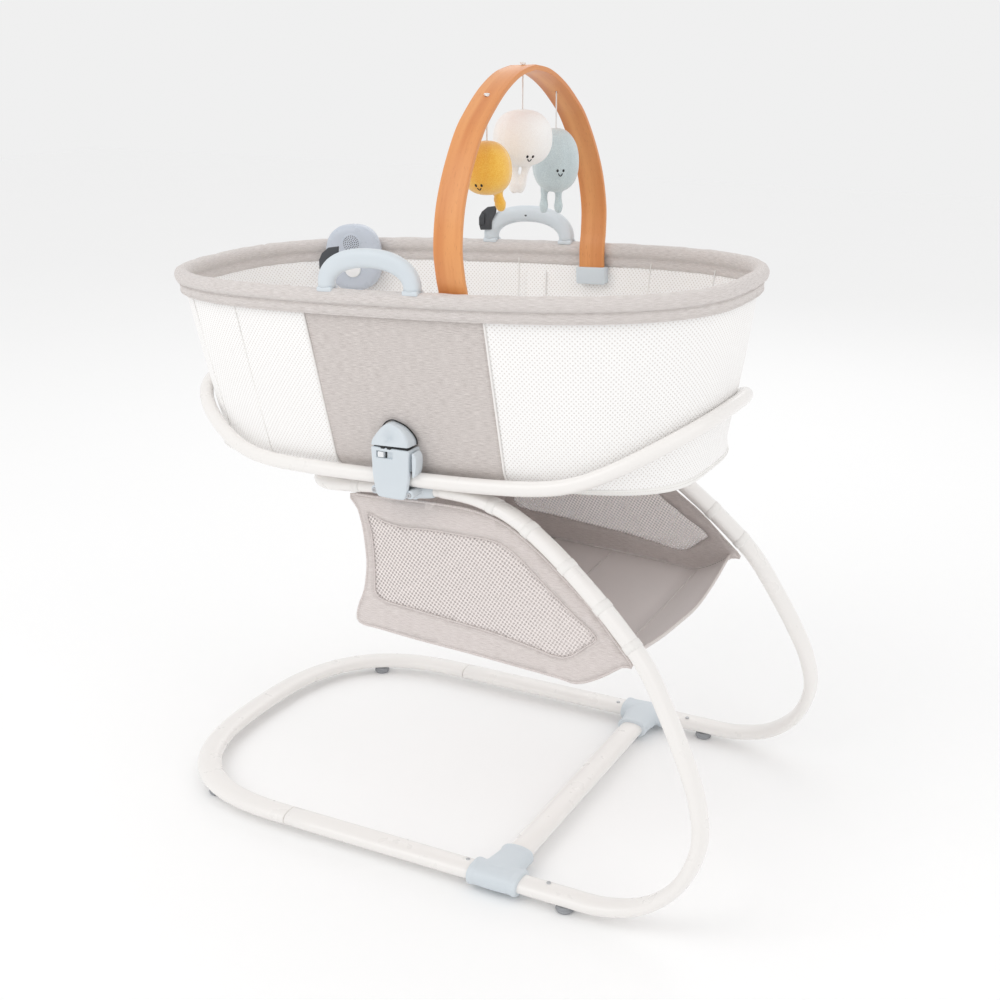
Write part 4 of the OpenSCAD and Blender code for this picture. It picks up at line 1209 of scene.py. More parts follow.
def makeClamp(far):
    side = "far" if far else "near"
    put = clampPlace(far)
    front, back = clampPlan["front"], clampPlan["back"]
    w, low, top = clampPlan["halfWide"], clampPlan["low"], clampPlan["top"]
    right = [(w, top), (w - 1, 600), (w - 1.5, 582), (w - 4, 566), (w - 6, 556), (w - 9, low + 2),
             (w - 15, low)]
    left = [(-x, z) for x, z in right[::-1]]
    line = smoothPath([(x, 0, z) for x, z in right + left], 4)[:, [0, 2]]
    body = extruded("standCover_" + side, line, front, back + 1.5, put, look["plastic"], clampPlan["bevel"],
                    5)
    window = extruded("windowCut", boxOutline(-21, 5, 604.5, 614.5, 1.2), front - 4, front + 3.6, put,
                      look["paintedShadePlastic"], 0)
    cutOut(body, window)
    inner = extruded("coverInside", boxOutline(-w + 3.4, w - 3.4, 566, top + 6), front + 6, back + 8, put,
                     look["paintedShadePlastic"], 0)
    cutOut(body, inner)
    gapCut = extruded("tubeGap", [(-50, 559.6), (50, 559.6), (50, 589), (-50, 589)], -234.6, back + 8, put,
                      look["paintedShadePlastic"], 0)
    cutOut(body, gapCut)
    shadeByAngle(body, 35)
    settle(body, "stand", ["stand_cover_" + side])
    # the part of the clamp that wraps the stand tube, with its screw ears and sleeve
    parts = []
    core = []
    for s, g in ((-30, 0.6), (-29, 2.4), (-22, 3.2), (0, 3.4), (24, 3.4), (33, 3.0), (40, 2.6), (41, 2.2),
                 (46, 1.6), (47.5, 0.4)):
        u = plan["pivotU"] + s
        core.append([(s, -198 + a, tubeZ(u) + b) for a,
                     b in oval(9.5 + g, 9.5 + g, 2.4, np.arange(32) * 11.25)])
    core = np.array(core)
    parts.append(closedShape("clampCore", placedRows(core, put), look["plastic"]))
    parts.append(extruded("clampBlock", boxOutline(-25, 25, 540, 562, 4), -210.5, -187.5, put,
                          look["plastic"], 2))
    for x in (-clampPlan["earX"], clampPlan["earX"]):
        ear = boxOutline(x - 6.2, x + 6.2, clampPlan["earZ"] - 6.2, clampPlan["earZ"] + 6.2, 5.4)
        parts.append(extruded("clampEar", ear, -237.5, -207, put, look["plastic"], 1.4))
    clamp = fused("tubeClamp_" + side, parts, 1.5, 5, look["plastic"])
    settle(clamp, "stand", ["tube_clamp_" + side])
    # pad of the release button at the foot side of the cover
    z0, z1 = 581, 617
    ear = smoothPath([(33.4, 0, z1 - 1), (35.6, 0, z1 - 0.5), (39.0, 0, z1 - 6), (39.6, 0, z1 - 14),
                      (38.4, 0, z0 + 10), (35.6, 0, z0 + 2), (33.4, 0, z0 + 1)], 4)[:, [0, 2]]
    pad = extruded("releaseButton_" + side, ear, -238.2, -219.5, put, look["plastic"], 1.6, 4)
    settle(pad, "button_" + side, ["release_button_" + side])
    # slider in its window: pale plate, knob and dark sighting slot
    plate = extruded("sliderPlate", boxOutline(-24, -2, 603.5, 615.5, 1), front + 3.7, front + 6.2, put,
                     look["slider"], 0.4)
    knob = extruded("sliderKnob", boxOutline(-18.5, -9.5, 605.6, 613.4, 1.2), front - 0.6, front + 4, put,
                    look["slider"], 0.7, 3)
    ribs = [extruded("sliderRib", boxOutline(x, x + 1.1, 606.8, 612.2), front - 1.1, front, put,
                     look["slider"], 0.3, 2) for x in (-16.6, -14.2, -11.8)]
    bar = extruded("sliderBar", boxOutline(-8.0, -5.6, 604.8, 614.2, 0.8), front + 2.6, front + 3.9, put,
                   look["blackAndShade"], 0)
    settle(merged("lockSlider_" + side, [plate, knob, bar] + ribs), "lock_" + side, ["lock_slider_" + side])
    # painted shade: the window floor in the darker plastic copy, and the split slots and split line as
    # near-black pieces standing for the shadow in them
    dark = [extruded("windowFloor", boxOutline(-22, 6, 603.8, 615.2), front + 6.6, front + 7.1, put,
                     look["paintedShadePlastic"], 0)]
    for x in (-14, -4):
        dark.append(extruded("splitSlotShade", boxOutline(x, x + 6, top - 1.2, top + 2.6, 1), front + 0.4,
                             front + 4, put, look["blackAndShade"], 0))
    dark.append(extruded("splitShadow", boxOutline(-w + 4, w - 3, top - 1.5, top + 2.4), front + 3.2, -222,
                         put, look["blackAndShade"], 0))
    settle(merged("coverShadows_" + side, dark), "stand")
    flip = -1 if far else 1
    spots = put([(x, -238.2, clampPlan["earZ"]) for x in (-clampPlan["earX"], clampPlan["earX"])])
    return spots, (0, -flip, 0)


def makeCap(far):
    side = "far" if far else "near"
    put = lambda pts: inCradle(mirrored(np.asarray(pts) + [plan["pivotU"], 0, 0], far))
    w, tall, foot = clampPlan["halfWide"], clampPlan["capTall"], clampPlan["capFoot"]
    # pointed dome, its top a little towards the head end, its front face sloping back to the cloth
    crown = smoothPath([(w - 0.2, 0, 0), (w - 0.4, 0, 7), (w - 5, 0, 15), (w - 14, 0, 23.5),
                        (4, 0, tall - 1.6), (-4, 0, tall), (-13, 0, tall - 3.6), (-w + 9, 0, 18),
                        (-w + 2, 0, 8), (-w + 0.2, 0, 0)], 4)[:, [0, 2]]
    rows = []
    for back, size in ((0.0, 1.0), (1.2, 1.0), (13, 0.995), (19, 0.985), (22, 0.95), (23.4, 0.86),
                       (23.9, 0.6), (24, 0.2)):
        ring = []
        for x, z in crown:
            slant = 1 - 0.42 * (z / tall) ** 1.6
            ring.append((x * size - 1.5 * (1 - size), clampPlan["capBack"] - back * slant,
                         foot + z * size + (1 - size) * 3))
        rows.append(ring)
    rows = np.array(rows)
    placed = placedRows(rows, put)
    cap = closedShape("latchCap_" + side, placed, look["plastic"])
    shadeByAngle(cap, 42)
    settle(cap, "bassinet", ["latch_cap_" + side])
    # painted shade: a dark cord round the cap for the shadow in the slit of the cloth
    loop = [(x * 1.06 - 0.2, clampPlan["capBack"] - 0.6 - 0.11 * z, foot + z * 1.07) for x, z in crown]
    path = put(np.array(loop))
    settle(trimAlong("capSlitShade_" + side, path, 1.0, look["blackAndShade"], sides=8), "bassinet")


spotRows = []
for far in (False, True):
    spots, facing = makeClamp(far)
    spotRows.append(screws("coverScrews_" + ("far" if far else "near"), spots, facing, 3.4, 1.5))
    makeCap(far)
settle(merged("coverScrews", spotRows), "stand", ["cover_screws"])
print("stage: clamps and caps made")

# ---- carry handles ----
handlePlan = {"wide": 157, "tall": 50, "grip": 54, "gripTall": 24.5, "deep": 19}


def handlePlace(far):
    base = [-4, -(plan["rimB"] - 1), plan["rimZ"] + plan["rollR"] + 0.4]
    return lambda pts: inCradle(mirrored(np.asarray(pts) + base, far))


def makeHandle(far):
    side = "far" if far else "near"
    put = handlePlace(far)
    h = handlePlan
    rows = []
    half = h["deep"] / 2
    # section rows run across the band: an oval section carried along the arch
    count = 81
    a = np.linspace(0, 180, count)
    out = oval(h["wide"] / 2, h["tall"], 2.25, a)
    inn = oval(h["grip"], h["gripTall"], 2.1, a)
    out = evenRow(out, count) + [0, 4]
    inn = evenRow(inn, count) + [0, 4]
    out[0], out[-1] = (h["wide"] / 2, 0), (-h["wide"] / 2, 0)
    inn[0], inn[-1] = (h["grip"], 0), (-h["grip"], 0)
    for o, i in zip(out, inn):
        mid, arm = (o + i) / 2, (o - i) / 2
        ring = []
        for k in range(28):
            q = oval(1, 1, 2.25, [k * 360 / 28])[0]
            ring.append((mid[0] + arm[0] * q[0], half * q[1], mid[1] + arm[1] * q[0]))
        rows.append(ring)
    rows = np.array(rows)
    arch = closedShape("handleArch", placedRows(rows, put), look["plastic"])
    feet = [extruded("handleFoot", boxOutline(x - 11.8, x + 11.8, -4.5, 2.2), -9.7, 9.7, put, look["plastic"],
                     2.4) for x in (-66, 66)]
    piece = merged("carryHandle_" + side, [arch] + feet)
    settle(piece, "bassinet", ["handle_" + side])
    clip = [(-80, 15), (-82.5, 24), (-82, 35), (-76.5, 44), (-66, 51.5), (-50, 53.6), (-52, 42), (-60, 30),
            (-61, 16)]
    made = extruded("handleClip", clip, 8.4, 12.2, put, look["dark"], 0.9, 3)
    lever = extruded("clipLever", [(-80.5, 22), (-80, 33), (-75.5, 42), (-70, 40), (-72, 24)], 11.8, 14.4,
                     put, look["dark"], 0.9, 3)
    spots = put([(x * (h["wide"] / 2 - 14), 8.2, 8) for x in (-1, 1)])
    dot = lathe("handleMark", [(0.01, 0.25), (2.0, 0.25), (2.4, 0.0), (2.4, -0.5), (0.01, -0.5)][::-1],
                lambda p: put(np.stack([p[:, 0] + 0.5, h["deep"] / 2 - 0.3 + p[:, 2], p[:, 1] + 40], 1)),
                look["dark"], 20)
    settle(dot, "bassinet")
    dot.name = "handleMark_" + side
    return [made, lever], spots, (0, -1 if far else 1, 0)


def evenRow(points, count):
    dense = np.asarray(points, float)
    run = np.concatenate([[0], np.cumsum(np.hypot(*np.diff(dense, axis=0).T))])
    at = np.linspace(0, run[-1], count)
    return np.stack([np.interp(at, run, dense[:, 0]), np.interp(at, run, dense[:, 1])], 1)


clips, screwRows = [], []
for far in (False, True):
    some, spots, facing = makeHandle(far)
    clips += some
    screwRows.append(screws("handleScrews_" + str(far), spots, facing, 2.6, 0.9))
settle(merged("handleClips", clips), "bassinet", ["handle_clips"])
settle(merged("handleScrews", screwRows), "bassinet", ["handle_screws"])
print("stage: handles made")

# ---- wooden toy arch ----
archPlan = {"halfWide": 20, "round": 1.1}
archHalf = [(-218, 778), (-218, 805), (-220, 828), (-226, 853), (-229, 890), (-218, 938), (-195, 982),
            (-162, 1025), (-133, 1049.5), (-91, 1076), (-45, 1094.5), (0, 1101.5)]


def makeArch():
    half = smoothPath([(0, y, z) for y, z in archHalf], 8)[:, 1:]
    line = np.concatenate([half, half[-2::-1] * [-1, 1]])
    t = unitRows(np.gradient(line, axis=0))
    normal = np.stack([-t[:, 1], t[:, 0]], 1)
    w, h, r = archPlan["halfWide"], plan["archT"] / 2, archPlan["round"]
    section = []
    for cx, cn, a0 in ((w - r, -h + r, -90), (w - r, h - r, 0), (-w + r, h - r, 90), (-w + r, -h + r, 180)):
        section += [(cx + r * math.cos(math.radians(a0 + k * 30)),
                     cn + r * math.sin(math.radians(a0 + k * 30))) for k in range(4)]
    rows = np.array([[(plan["archU"] + x, p[0] + n[0] * d, p[1] + n[1] * d) for x, d in section] for p,
                     n in zip(line, normal)])
    arch = closedShape("toyArch", placedRows(rows, inCradle), look["beech"])
    cutters = []
    for y, z in toyHoles:
        cutters.append(lathe("holeCutter", [(0.001, z - 20), (2.3, z - 20), (2.3, z + 20), (0.001, z + 20)],
                             lambda p, y=y: inCradle(p + [plan["archU"], y, 0]), look["beech"], 20))
    cutOut(arch, merged("holeCutters", cutters))
    shadeByAngle(arch, 40)
    settle(arch, "toy_arch", ["toy_arch"])
    for far in (False, True):
        side = "far" if far else "near"
        put = lambda pts: inCradle(mirrored(np.asarray(pts) + [plan["archU"], 0, 0], far))
        block = extruded("archSocket_" + side, boxOutline(-24, 24, 772, 798, 3), -225.5, -210.5, put,
                         look["plastic"], 1.6, 4)
        pocket = extruded("pocket", boxOutline(-20.4, 20.4, 777.6, 812), -222, -214, put,
                          look["paintedShadePlastic"], 0)
        cutOut(block, pocket)
        shadeByAngle(block, 35)
        settle(block, "bassinet", ["arch_socket_" + side])


toyHoles = ((-108, 1066), (0, 1101.5), (105, 1068))
makeArch()
print("stage: toy arch made")

# ---- hanging toys ----
toyPlan = {"cordRadius": 1.0, "quiltDepth": 1.4}
toyTops = (1017, 1050, 1018)
toySizes = ((34, 35), (42, 38), (34, 45))


def holePoint(i):
    return inCradle([(plan["archU"], toyHoles[i][0], toyHoles[i][1])])[0]


def facingPoint(skin, middle, yaw, rise):
    # the spot where a line from the toy's middle leaves its skin, in millimetres
    a, e = math.radians(yaw), math.radians(rise)
    d = Vector((math.cos(e) * math.sin(a), -math.cos(e) * math.cos(a), math.sin(e)))
    start = Vector(middle) / 1000 + d * 0.12
    hit = skin.ray_cast(start, -d)[0]
    return np.array(hit) * 1000


def makeToy(i, name, mat, shape, legs, seams, face):
    hole = holePoint(i)
    r, h = toySizes[i]
    top = toyTops[i] - plan["floorZ"]
    middle = np.array([hole[0] * 1000, hole[1] * 1000, top - h])
    verts = []
    lats, longs = 44, 56
    for a in range(lats + 1):
        phi = math.pi * a / lats
        z = -math.cos(phi)
        ring = []
        for b in range(longs):
            t = 2 * math.pi * b / longs
            k = shape(z, t)
            flat = abs(math.sin(phi)) ** (2 / 2.4)
            zz = math.copysign(abs(z) ** (2 / 2.25), z)
            groove = sum(toyPlan["quiltDepth"] * math.exp(-(((t - s + math.pi) % (2 * math.pi)
                                                             - math.pi) / 0.09) ** 2) for s in seams)
            groove *= min(1, flat * 1.4)
            scallop = 0.035 * math.cos(7 * t) * max(0, z - 0.45) * 1.8
            rr = r * flat * (k + scallop) - groove
            ring.append(middle + [rr * math.cos(t), rr * math.sin(t), h * zz])
        verts.append(ring)
    rows = np.array(verts) / 1000
    body = closedShape(name, rows, mat)
    parts = [body]
    for (x0, y0), (x1, y1), drop, thick in legs:
        pts = []
        for k in np.linspace(0, 1, 12):
            pts.append(middle + [x0 + (x1 - x0) * k, y0 + (y1 - y0) * k, -h + 10 - (drop + 10 - thick) * k])
        pts = np.array(pts)
        t = unitRows(np.gradient(pts, axis=0))
        side = unitRows(np.cross(t, [0, 1, 0]))
        ring = []
        for k, p in enumerate(pts):
            rad = thick * (1 + 0.10 * math.sin(k * 0.9)) * (1.12 if k > 8 else 1)
            ring.append([p + rad * (math.cos(q) * side[k] + math.sin(q) * np.cross(t[k], side[k]))
                         for q in np.arange(18) * math.pi / 9])
        for reach, size in ((0.5, 0.9), (0.85, 0.6), (1.0, 0.2)):
            ring.append([pts[-1] + thick * reach * t[-1] + size * thick * (math.cos(q) * side[-1]
                                                                           + math.sin(q) * np.cross(t[-1],
                                                                                                    side[-1]))
                         for q in np.arange(18) * math.pi / 9])
        ring = np.array(ring) / 1000
        parts.append(closedShape(name + "Leg", ring, mat))
    soft = fused(name, parts, 1.6, 3, mat, 0.4)
    skin = BVHTree.FromObject(soft, bpy.context.evaluated_depsgraph_get())
    marks = []
    yaw, rise, spread = face
    for side in (-1, 1):
        spot = facingPoint(skin, middle, yaw + side * spread, rise)
        marks.append(bead("toyEye", spot, middle, 1.7, 2.5, look["blackAndShade"]))
    smile = []
    for k in np.linspace(-1, 1, 11):
        smile.append(facingPoint(skin, middle, yaw + k * spread * 0.7, rise - 5.5 - 6 * (1 - k * k)))
    smile = np.array(smile) / 1000
    up = unitRows(smile - middle / 1000)
    marks.append(sweepTube("toySmile", smile, up, 0.75, 0.75, look["blackAndShade"], n=2, sides=8, ends=0.3))
    stitch = merged(name + "Face", marks)
    return soft, stitch, hole, top


def bead(name, spot, middle, radius, tall, mat):
    ring = []
    out = unitRows(np.array([spot - middle]))[0]
    side = unitRows(np.cross([[0, 0, 1.0]], [out]))[0]
    up = np.cross(out, side)
    for a in range(7):
        phi = math.pi * a / 6
        ring.append([spot - out * 0.5 * math.cos(phi) * 1.6
                     + math.sin(phi) * (radius * math.cos(q) * side + tall * math.sin(q) * up)
                     for q in np.arange(12) * math.pi / 6])
    return closedShape(name, np.array(ring) / 1000, mat)


def pear(low, high, wobble=0.0, count=2):
    return lambda z, t: low + (high - low) * (z * 0.5 + 0.5) + wobble * math.cos(count * t) * (1 - z * z)


toys = (("yellow", look["yellowPlush"], pear(1.04, 0.9, 0.015, 3),
         [((13, 4), (17, 7), 22, 6.4), ((4, 20), (6, 24), 18, 6.0)], (-2.9, -1.2, 0.2, 2.2), (6, -34, 7.5)),
        ("white", look["whitePlush"], pear(0.97, 0.98, 0.02, 3),
         [((-10, -5), (-10, -5), 37, 6.2), ((9, 0), (-3.4, 0), 37, 5.6)], (-1.9, 0.1, 2.1), (44, -32, 6.5)),
        ("blue", look["bluePlush"], pear(1.03, 0.93, 0.02, 2),
         [((-14, -7), (-15, -7), 31, 5.4), ((5, 0), (5.5, 0), 31, 5.4)], (-2.4, -0.6, 0.6, 2.4),
         (38, -20, 7.5)),)
for i, (name, mat, shape, legs, seams, face) in enumerate(toys):
    soft, stitch, hole, top = makeToy(i, name + "Toy", mat, shape, legs, seams, face)
    settle(soft, name + "_toy", ["toy_" + name])
    settle(stitch, name + "_toy")
    low = top / 1000 - 0.001
    high = hole[2] + 0.0068
    path = np.array([(hole[0], hole[1], z) for z in np.linspace(high, low, 20)])
    yarn = sweepTube(name + "Cord", path, np.repeat([[1.0, 0, 0]], 20, 0), toyPlan["cordRadius"],
                     toyPlan["cordRadius"], look["cordYarn"], n=2, sides=12, ends=0.4)
    knot = []
    for a in np.linspace(0, 4 * math.pi, 40):
        wob = 2.6 + 0.5 * math.sin(a * 1.5)
        knot.append((hole[0] + wob / 1000 * math.cos(a), hole[1] + wob / 1000 * math.sin(a),
                     hole[2] + 0.0052 + 0.0011 * math.sin(a * 0.75)))
    twist = sweepTube(name + "Knot", knot, np.repeat([[0, 0, 1.0]], 40, 0), 1.1, 1.1, look["cordYarn"], n=2,
                      sides=10, ends=0.4)
    settle(yarn, name + "_toy", ["string_" + name])
    settle(twist, name + "_toy")
print("stage: toys made")

# ---- soother unit on the rim ----
sootherPlan = {"spotU": 305, "halfWide": 46, "halfTall": 54, "middle": -17, "grilleZ": 8, "buttonZ": -13,
               "lensZ": -34}
spotAngle = math.degrees(math.acos(-(sootherPlan["spotU"] / plan["rimA"]) ** (plan["rimPower"] / 2)))
spotA, spotB = [oval(plan["rimA"], plan["rimB"], plan["rimPower"], [spotAngle - k])[0] for k in (0, 1)]
turnBy = math.atan2(spotB[1] - spotA[1], spotB[0] - spotA[0])


def sootherPlace(pts):
    p = np.asarray(pts, float).reshape(-1, 3)
    c, s = math.cos(turnBy), math.sin(turnBy)
    return inCradle(np.stack([spotA[0] + c * p[:, 0] - s * p[:, 1], spotA[1] + s * p[:, 0] + c * p[:, 1],
                              plan["rimZ"] + p[:, 2]], 1))


def sootherShell(name, stations, mat):
    rows = []
    for y, inset in stations:
        ring = oval(sootherPlan["halfWide"] - inset, sootherPlan["halfTall"] - inset, 2.5, np.arange(72) * 5)
        rows.append([(x, y, z + sootherPlan["middle"]) for x, z in ring])
    rows = np.array(rows)
    return closedShape(name, placedRows(rows, sootherPlace), mat)


def frontDisc(name, z, radius, y0, y1, mat, steps=48, edge=0.8):
    profile = [(0.01, y1), (radius, y1), (radius, y0 + edge), (radius - edge * 0.3, y0 + edge * 0.3),
               (radius - edge, y0), (0.01, y0)]
    return lathe(name, profile, lambda p: sootherPlace(np.stack([p[:, 0], p[:, 2], p[:, 1] + z], 1)), mat,
                 steps)


def makeSoother():
    s = sootherPlan
    front = sootherShell("sootherFront", [(-20.4, 1.2), (-20.8, 0.3), (-24, 0), (-36, 0.4), (-40.4, 2.2),
                                          (-43.6, 5.4), (-45.1, 9.6), (-45.6, 14), (-45.7, 24), (-45.7, 38)],
                         look["violet"])
    rims = [frontDisc("sootherRim", s["grilleZ"], 16.4, -46.1, -45.2, look["violet"]),
            frontDisc("sootherRim", s["lensZ"], 14.4, -46.4, -45.2, look["violet"]),
            frontDisc("sootherRim", s["buttonZ"], 6.2, -46.4, -45.2, look["violet"])]
    front = merged("sootherFront", [front] + rims)
    shadeByAngle(front, 38)
    settle(front, "bassinet", ["soother_front"])
    back = sootherShell("sootherBack", [(-16.4, 12), (-16.5, 6), (-16.9, 3.0), (-18, 1.4), (-20, 1.0),
                                        (-20.4, 2.0)], look["violet"])
    hook = [extruded("hookTop", boxOutline(-18, 18, 11.8, 15.6, 1.4), -13, 15.4, sootherPlace, look["violet"],
                     1.2), extruded("hookLip", boxOutline(-18, 18, -8, 15.4, 1.4), 12.4, 15.4, sootherPlace,
                                    look["violet"], 1.2), extruded("hookNeck",
                                                                   boxOutline(-18, 18, 2, 15.4, 1.4), -19.8,
                                                                   -12.0, sootherPlace, look["violet"], 1.0)]
    settle(merged("sootherBack", [back] + hook), "bassinet", ["soother_back"])
    # speaker grille: a dished disc with rings of round holes, drawn as dark discs that paint the shade inside
    # each hole
    disc = frontDisc("sootherGrille", s["grilleZ"], 15.2, -46.9, -45.2, look["violet"], 56, 0.5)
    holes = []
    for ring, count in ((0, 1), (3.1, 6), (6.2, 12), (9.3, 18), (12.2, 24)):
        for k in range(count):
            a = 2 * math.pi * k / count + ring * 0.13
            holes.append(sootherPlace([(ring * math.cos(a), -46.95, s["grilleZ"] + ring * math.sin(a))])[0])
    facing = sootherPlace([(0, -1, 0)])[0] - sootherPlace([(0, 0, 0)])[0]
    tree, inputs = dotTree()
    dots = runTree("grilleHoleShade", holes, [], tree, inputs,
                   {"Radius": 0.00085, "Height": 0.00022, "Facing": tuple(facing * 1000),
                    "Tint": look["dark"]}, look["dark"])
    settle(merged("sootherGrille", [disc, dots]), "bassinet", ["soother_grille"])
    lens = frontDisc("sootherLens", s["lensZ"], 13.1, -48.6, -44.8, look["lens"], 56, 1.6)
    settle(lens, "bassinet", ["soother_lens"])
    button = frontDisc("sootherButton", s["buttonZ"], 5.0, -48.6, -43, look["plastic"], 40, 1.0)
    settle(button, "soother_button", ["soother_button"])


def dotTree():
    tree, sockets = newTree("roundDots", [("Radius", "NodeSocketFloat", 0.001),
                                          ("Height", "NodeSocketFloat", 0.0004),
                                          ("Facing", "NodeSocketVector", (0, 0, 1)),
                                          ("Tint", "NodeSocketMaterial", None)])
    start = tree.nodes.new("NodeGroupInput")
    disc = grow(tree, "GeometryNodeMeshCylinder", [("Radius", start.outputs["Radius"]),
                                                   ("Depth", start.outputs["Height"])], Vertices=12)
    facing = grow(tree, "FunctionNodeAlignRotationToVector", [("Vector", start.outputs["Facing"])], axis="Z")
    placed = grow(tree, "GeometryNodeInstanceOnPoints",
                  [("Points", start.outputs["Geometry"]), ("Instance", disc.outputs["Mesh"]),
                   ("Rotation", facing.outputs["Rotation"])])
    solid = grow(tree, "GeometryNodeRealizeInstances", [("Geometry", placed.outputs["Instances"])])
    tinted = grow(tree, "GeometryNodeSetMaterial", [("Geometry", solid.outputs["Geometry"]),
                                                    ("Material", start.outputs["Tint"])])
    end = tree.nodes.new("NodeGroupOutput")
    tree.links.new(tinted.outputs["Geometry"], end.inputs["Geometry"])
    return tree, sockets


makeSoother()
print("stage: soother made")

# ---- storage basket ----
basketPlan = {"grid": 9.0, "bulge": 5.0, "thick": 2.2, "lipBulge": 18, "floorSag": 7, "headBow": 12}
basketOutline = [(-80, 527), (-66, 508), (-56, 482), (-50, 456), (-46, 430), (-48, 395), (-57, 366),
                 (-54, 346), (-20, 343), (44, 339), (126, 336), (205, 332), (262, 329), (290, 327),
                 (322, 341), (352, 362), (366, 366), (340, 393), (303, 430), (268, 457), (225, 489),
                 (170, 521), (120, 533), (60, 534), (0, 531.5), (-40, 529)]
windowOutline = [(-50, 505), (-20, 498), (13, 495), (53, 498), (110, 499), (153, 498), (185, 486), (232, 452),
                 (280, 418), (313, 395), (300, 380), (268, 358), (215, 365), (163, 372), (100, 377),
                 (41, 382), (-23, 388), (-32, 420), (-36, 450), (-42, 480)]


def insideOf(points, outline):
    x, z = points[:, 0], points[:, 1]
    inside = np.zeros(len(points), bool)
    n = len(outline)
    for i in range(n):
        (x0, z0), (x1, z1) = outline[i], outline[(i + 1) % n]
        cross = ((z0 > z) != (z1 > z)) & (x < (x1 - x0) * (z - z0) / (z1 - z0 + 1e-12) + x0)
        inside ^= cross
    return inside


def rimDistance(points, outline):
    best = np.full(len(points), 1e9)
    n = len(outline)
    for i in range(n):
        a, b = np.array(outline[i], float), np.array(outline[(i + 1) % n], float)
        ab = b - a
        t = np.clip(((points - a) @ ab) / (ab @ ab), 0, 1)
        best = np.minimum(best, np.linalg.norm(points - a - t[:, None] * ab, axis=1))
    return best


def denseLoop(outline, step):
    pts = []
    n = len(outline)
    for i in range(n):
        a, b = np.array(outline[i], float), np.array(outline[(i + 1) % n], float)
        count = max(1, int(np.linalg.norm(b - a) / step))
        pts += [tuple(a + (b - a) * k / count) for k in range(count)]
    return pts


def roundLoop(outline, steps=4):
    p = np.array(outline + outline[:3], float)
    out = []
    for i in range(1, len(outline) + 1):
        a, b, c, d = p[i - 1], p[i], p[i + 1], p[(i + 2) % len(p)] if i + 2 < len(p) else p[2]
        for k in range(steps):
            t = k / steps
            out.append(tuple(0.5 * (2 * b + (c - a) * t + (2 * a - 5 * b + 4 * c - d) * t * t
                                    + (3 * b - a - 3 * c + d) * t ** 3)))
    return out


def clothPatch(name, outer, hole, place, mat, step, thick):
    outer = denseLoop(outer, step)
    loops = [outer] + ([denseLoop(hole, step)] if hole else [])
    verts, edges = [], []
    for loop in loops:
        first = len(verts)
        verts += loop
        edges += [(first + k, first + (k + 1) % len(loop)) for k in range(len(loop))]
    xs = np.array(outer)
    gx, gz = np.meshgrid(np.arange(xs[:, 0].min(), xs[:, 0].max(), step),
                         np.arange(xs[:, 1].min(), xs[:, 1].max(), step * 0.87))
    gx = gx + (np.arange(gx.shape[0]) % 2)[:, None] * step / 2
    pts = np.stack([gx.ravel(), gz.ravel()], 1)
    keep = insideOf(pts, outer) & (rimDistance(pts, outer) > step * 0.5)
    if hole:
        keep &= ~insideOf(pts, loops[1]) & (rimDistance(pts, loops[1]) > step * 0.5)
    verts += [tuple(q) for q in pts[keep]]
    made = delaunay_2d_cdt([Vector(v) for v in verts], edges, [], 0, 1e-5)
    flat = np.array([tuple(v) for v in made[0]])
    tris = np.array([tuple(f) for f in made[2] if len(f) == 3])
    centre = flat[tris].mean(1)
    keep = insideOf(centre, outer)
    if hole:
        keep &= ~insideOf(centre, loops[1])
    tris = tris[keep]
    obj = makeObject(name, place(flat), tris, mat, flat / 1000)
    work = bmesh.new()
    work.from_mesh(obj.data)
    bmesh.ops.delete(work, geom=[v for v in work.verts if not v.link_faces], context="VERTS")
    bmesh.ops.recalc_face_normals(work, faces=work.faces)
    work.to_mesh(obj.data)
    work.free()
    addModifier(obj, "SOLIDIFY", thickness=thick / 1000, offset=0)
    bake(obj)
    return obj


def sideBulge(flat):
    inner = np.minimum(1, rimDistance(flat, basketOutline) / 60)
    soft = basketPlan["bulge"] * inner ** 0.8
    ripple = 0.8 * np.sin(flat[:, 0] * 0.045 + flat[:, 1] * 0.03) * inner
    return soft + ripple


def sidePlace(far, lift=0.0):
    def put(flat):
        flat = np.asarray(flat, float)
        out = sideBulge(flat) - 6 + lift
        z = flat[:, 1]
        return inStand(mirrored(np.stack([flat[:, 0], -(sideY(z) + out), z + 0 * out], 1), far))
    return put


floorLine = [(-56, 349), (-20, 346.3), (60, 341.3), (126, 339.3), (205, 335.3), (262, 332.3), (289, 330.3),
             (321, 344.3), (350, 364.8)]
headLine = [(-54, 352), (-43, 395), (-40, 430), (-45, 461), (-55, 498), (-73, 527)]


def makeBasket():
    window = roundLoop(windowOutline, 3)
    edge = roundLoop(basketOutline, 3)
    for far in (False, True):
        side = "far" if far else "near"
        border = clothPatch("basketBorder", edge, window, sidePlace(far), look["basketMelange"],
                            basketPlan["grid"], basketPlan["thick"])
        net = clothPatch("basketWindow", window, None, sidePlace(far, 0.2), look["basketNet"],
                         basketPlan["grid"], 0.5)
        trims = []
        for loop, radius, lift in ((window, 1.2, 1.0), (edge, 1.9, 0.2)):
            dense = np.array(denseLoop(loop, 5))
            path = sidePlace(far, lift)(dense)
            trims.append(closedTrim("basketBinding", path, radius, look["basketMelange"]))
        ring = np.array(denseLoop(window, 6))
        centre = ring.mean(0)
        outer = centre + (ring - centre) * (1 + 6 / np.maximum(60,
                                                               np.linalg.norm(ring - centre, axis=1,
                                                                              keepdims=True)))
        thread = stitches("basketStitch", sidePlace(far, 1.3)(outer), closed=True, pitch=4.4, thickness=0.35,
                          length=3.0)
        settle(merged("basketSide_" + side, [border, net] + trims + [thread]), "stand", ["basket_" + side])
    makeBasketFloor()
    makeBasketHead()
    makeLoops()


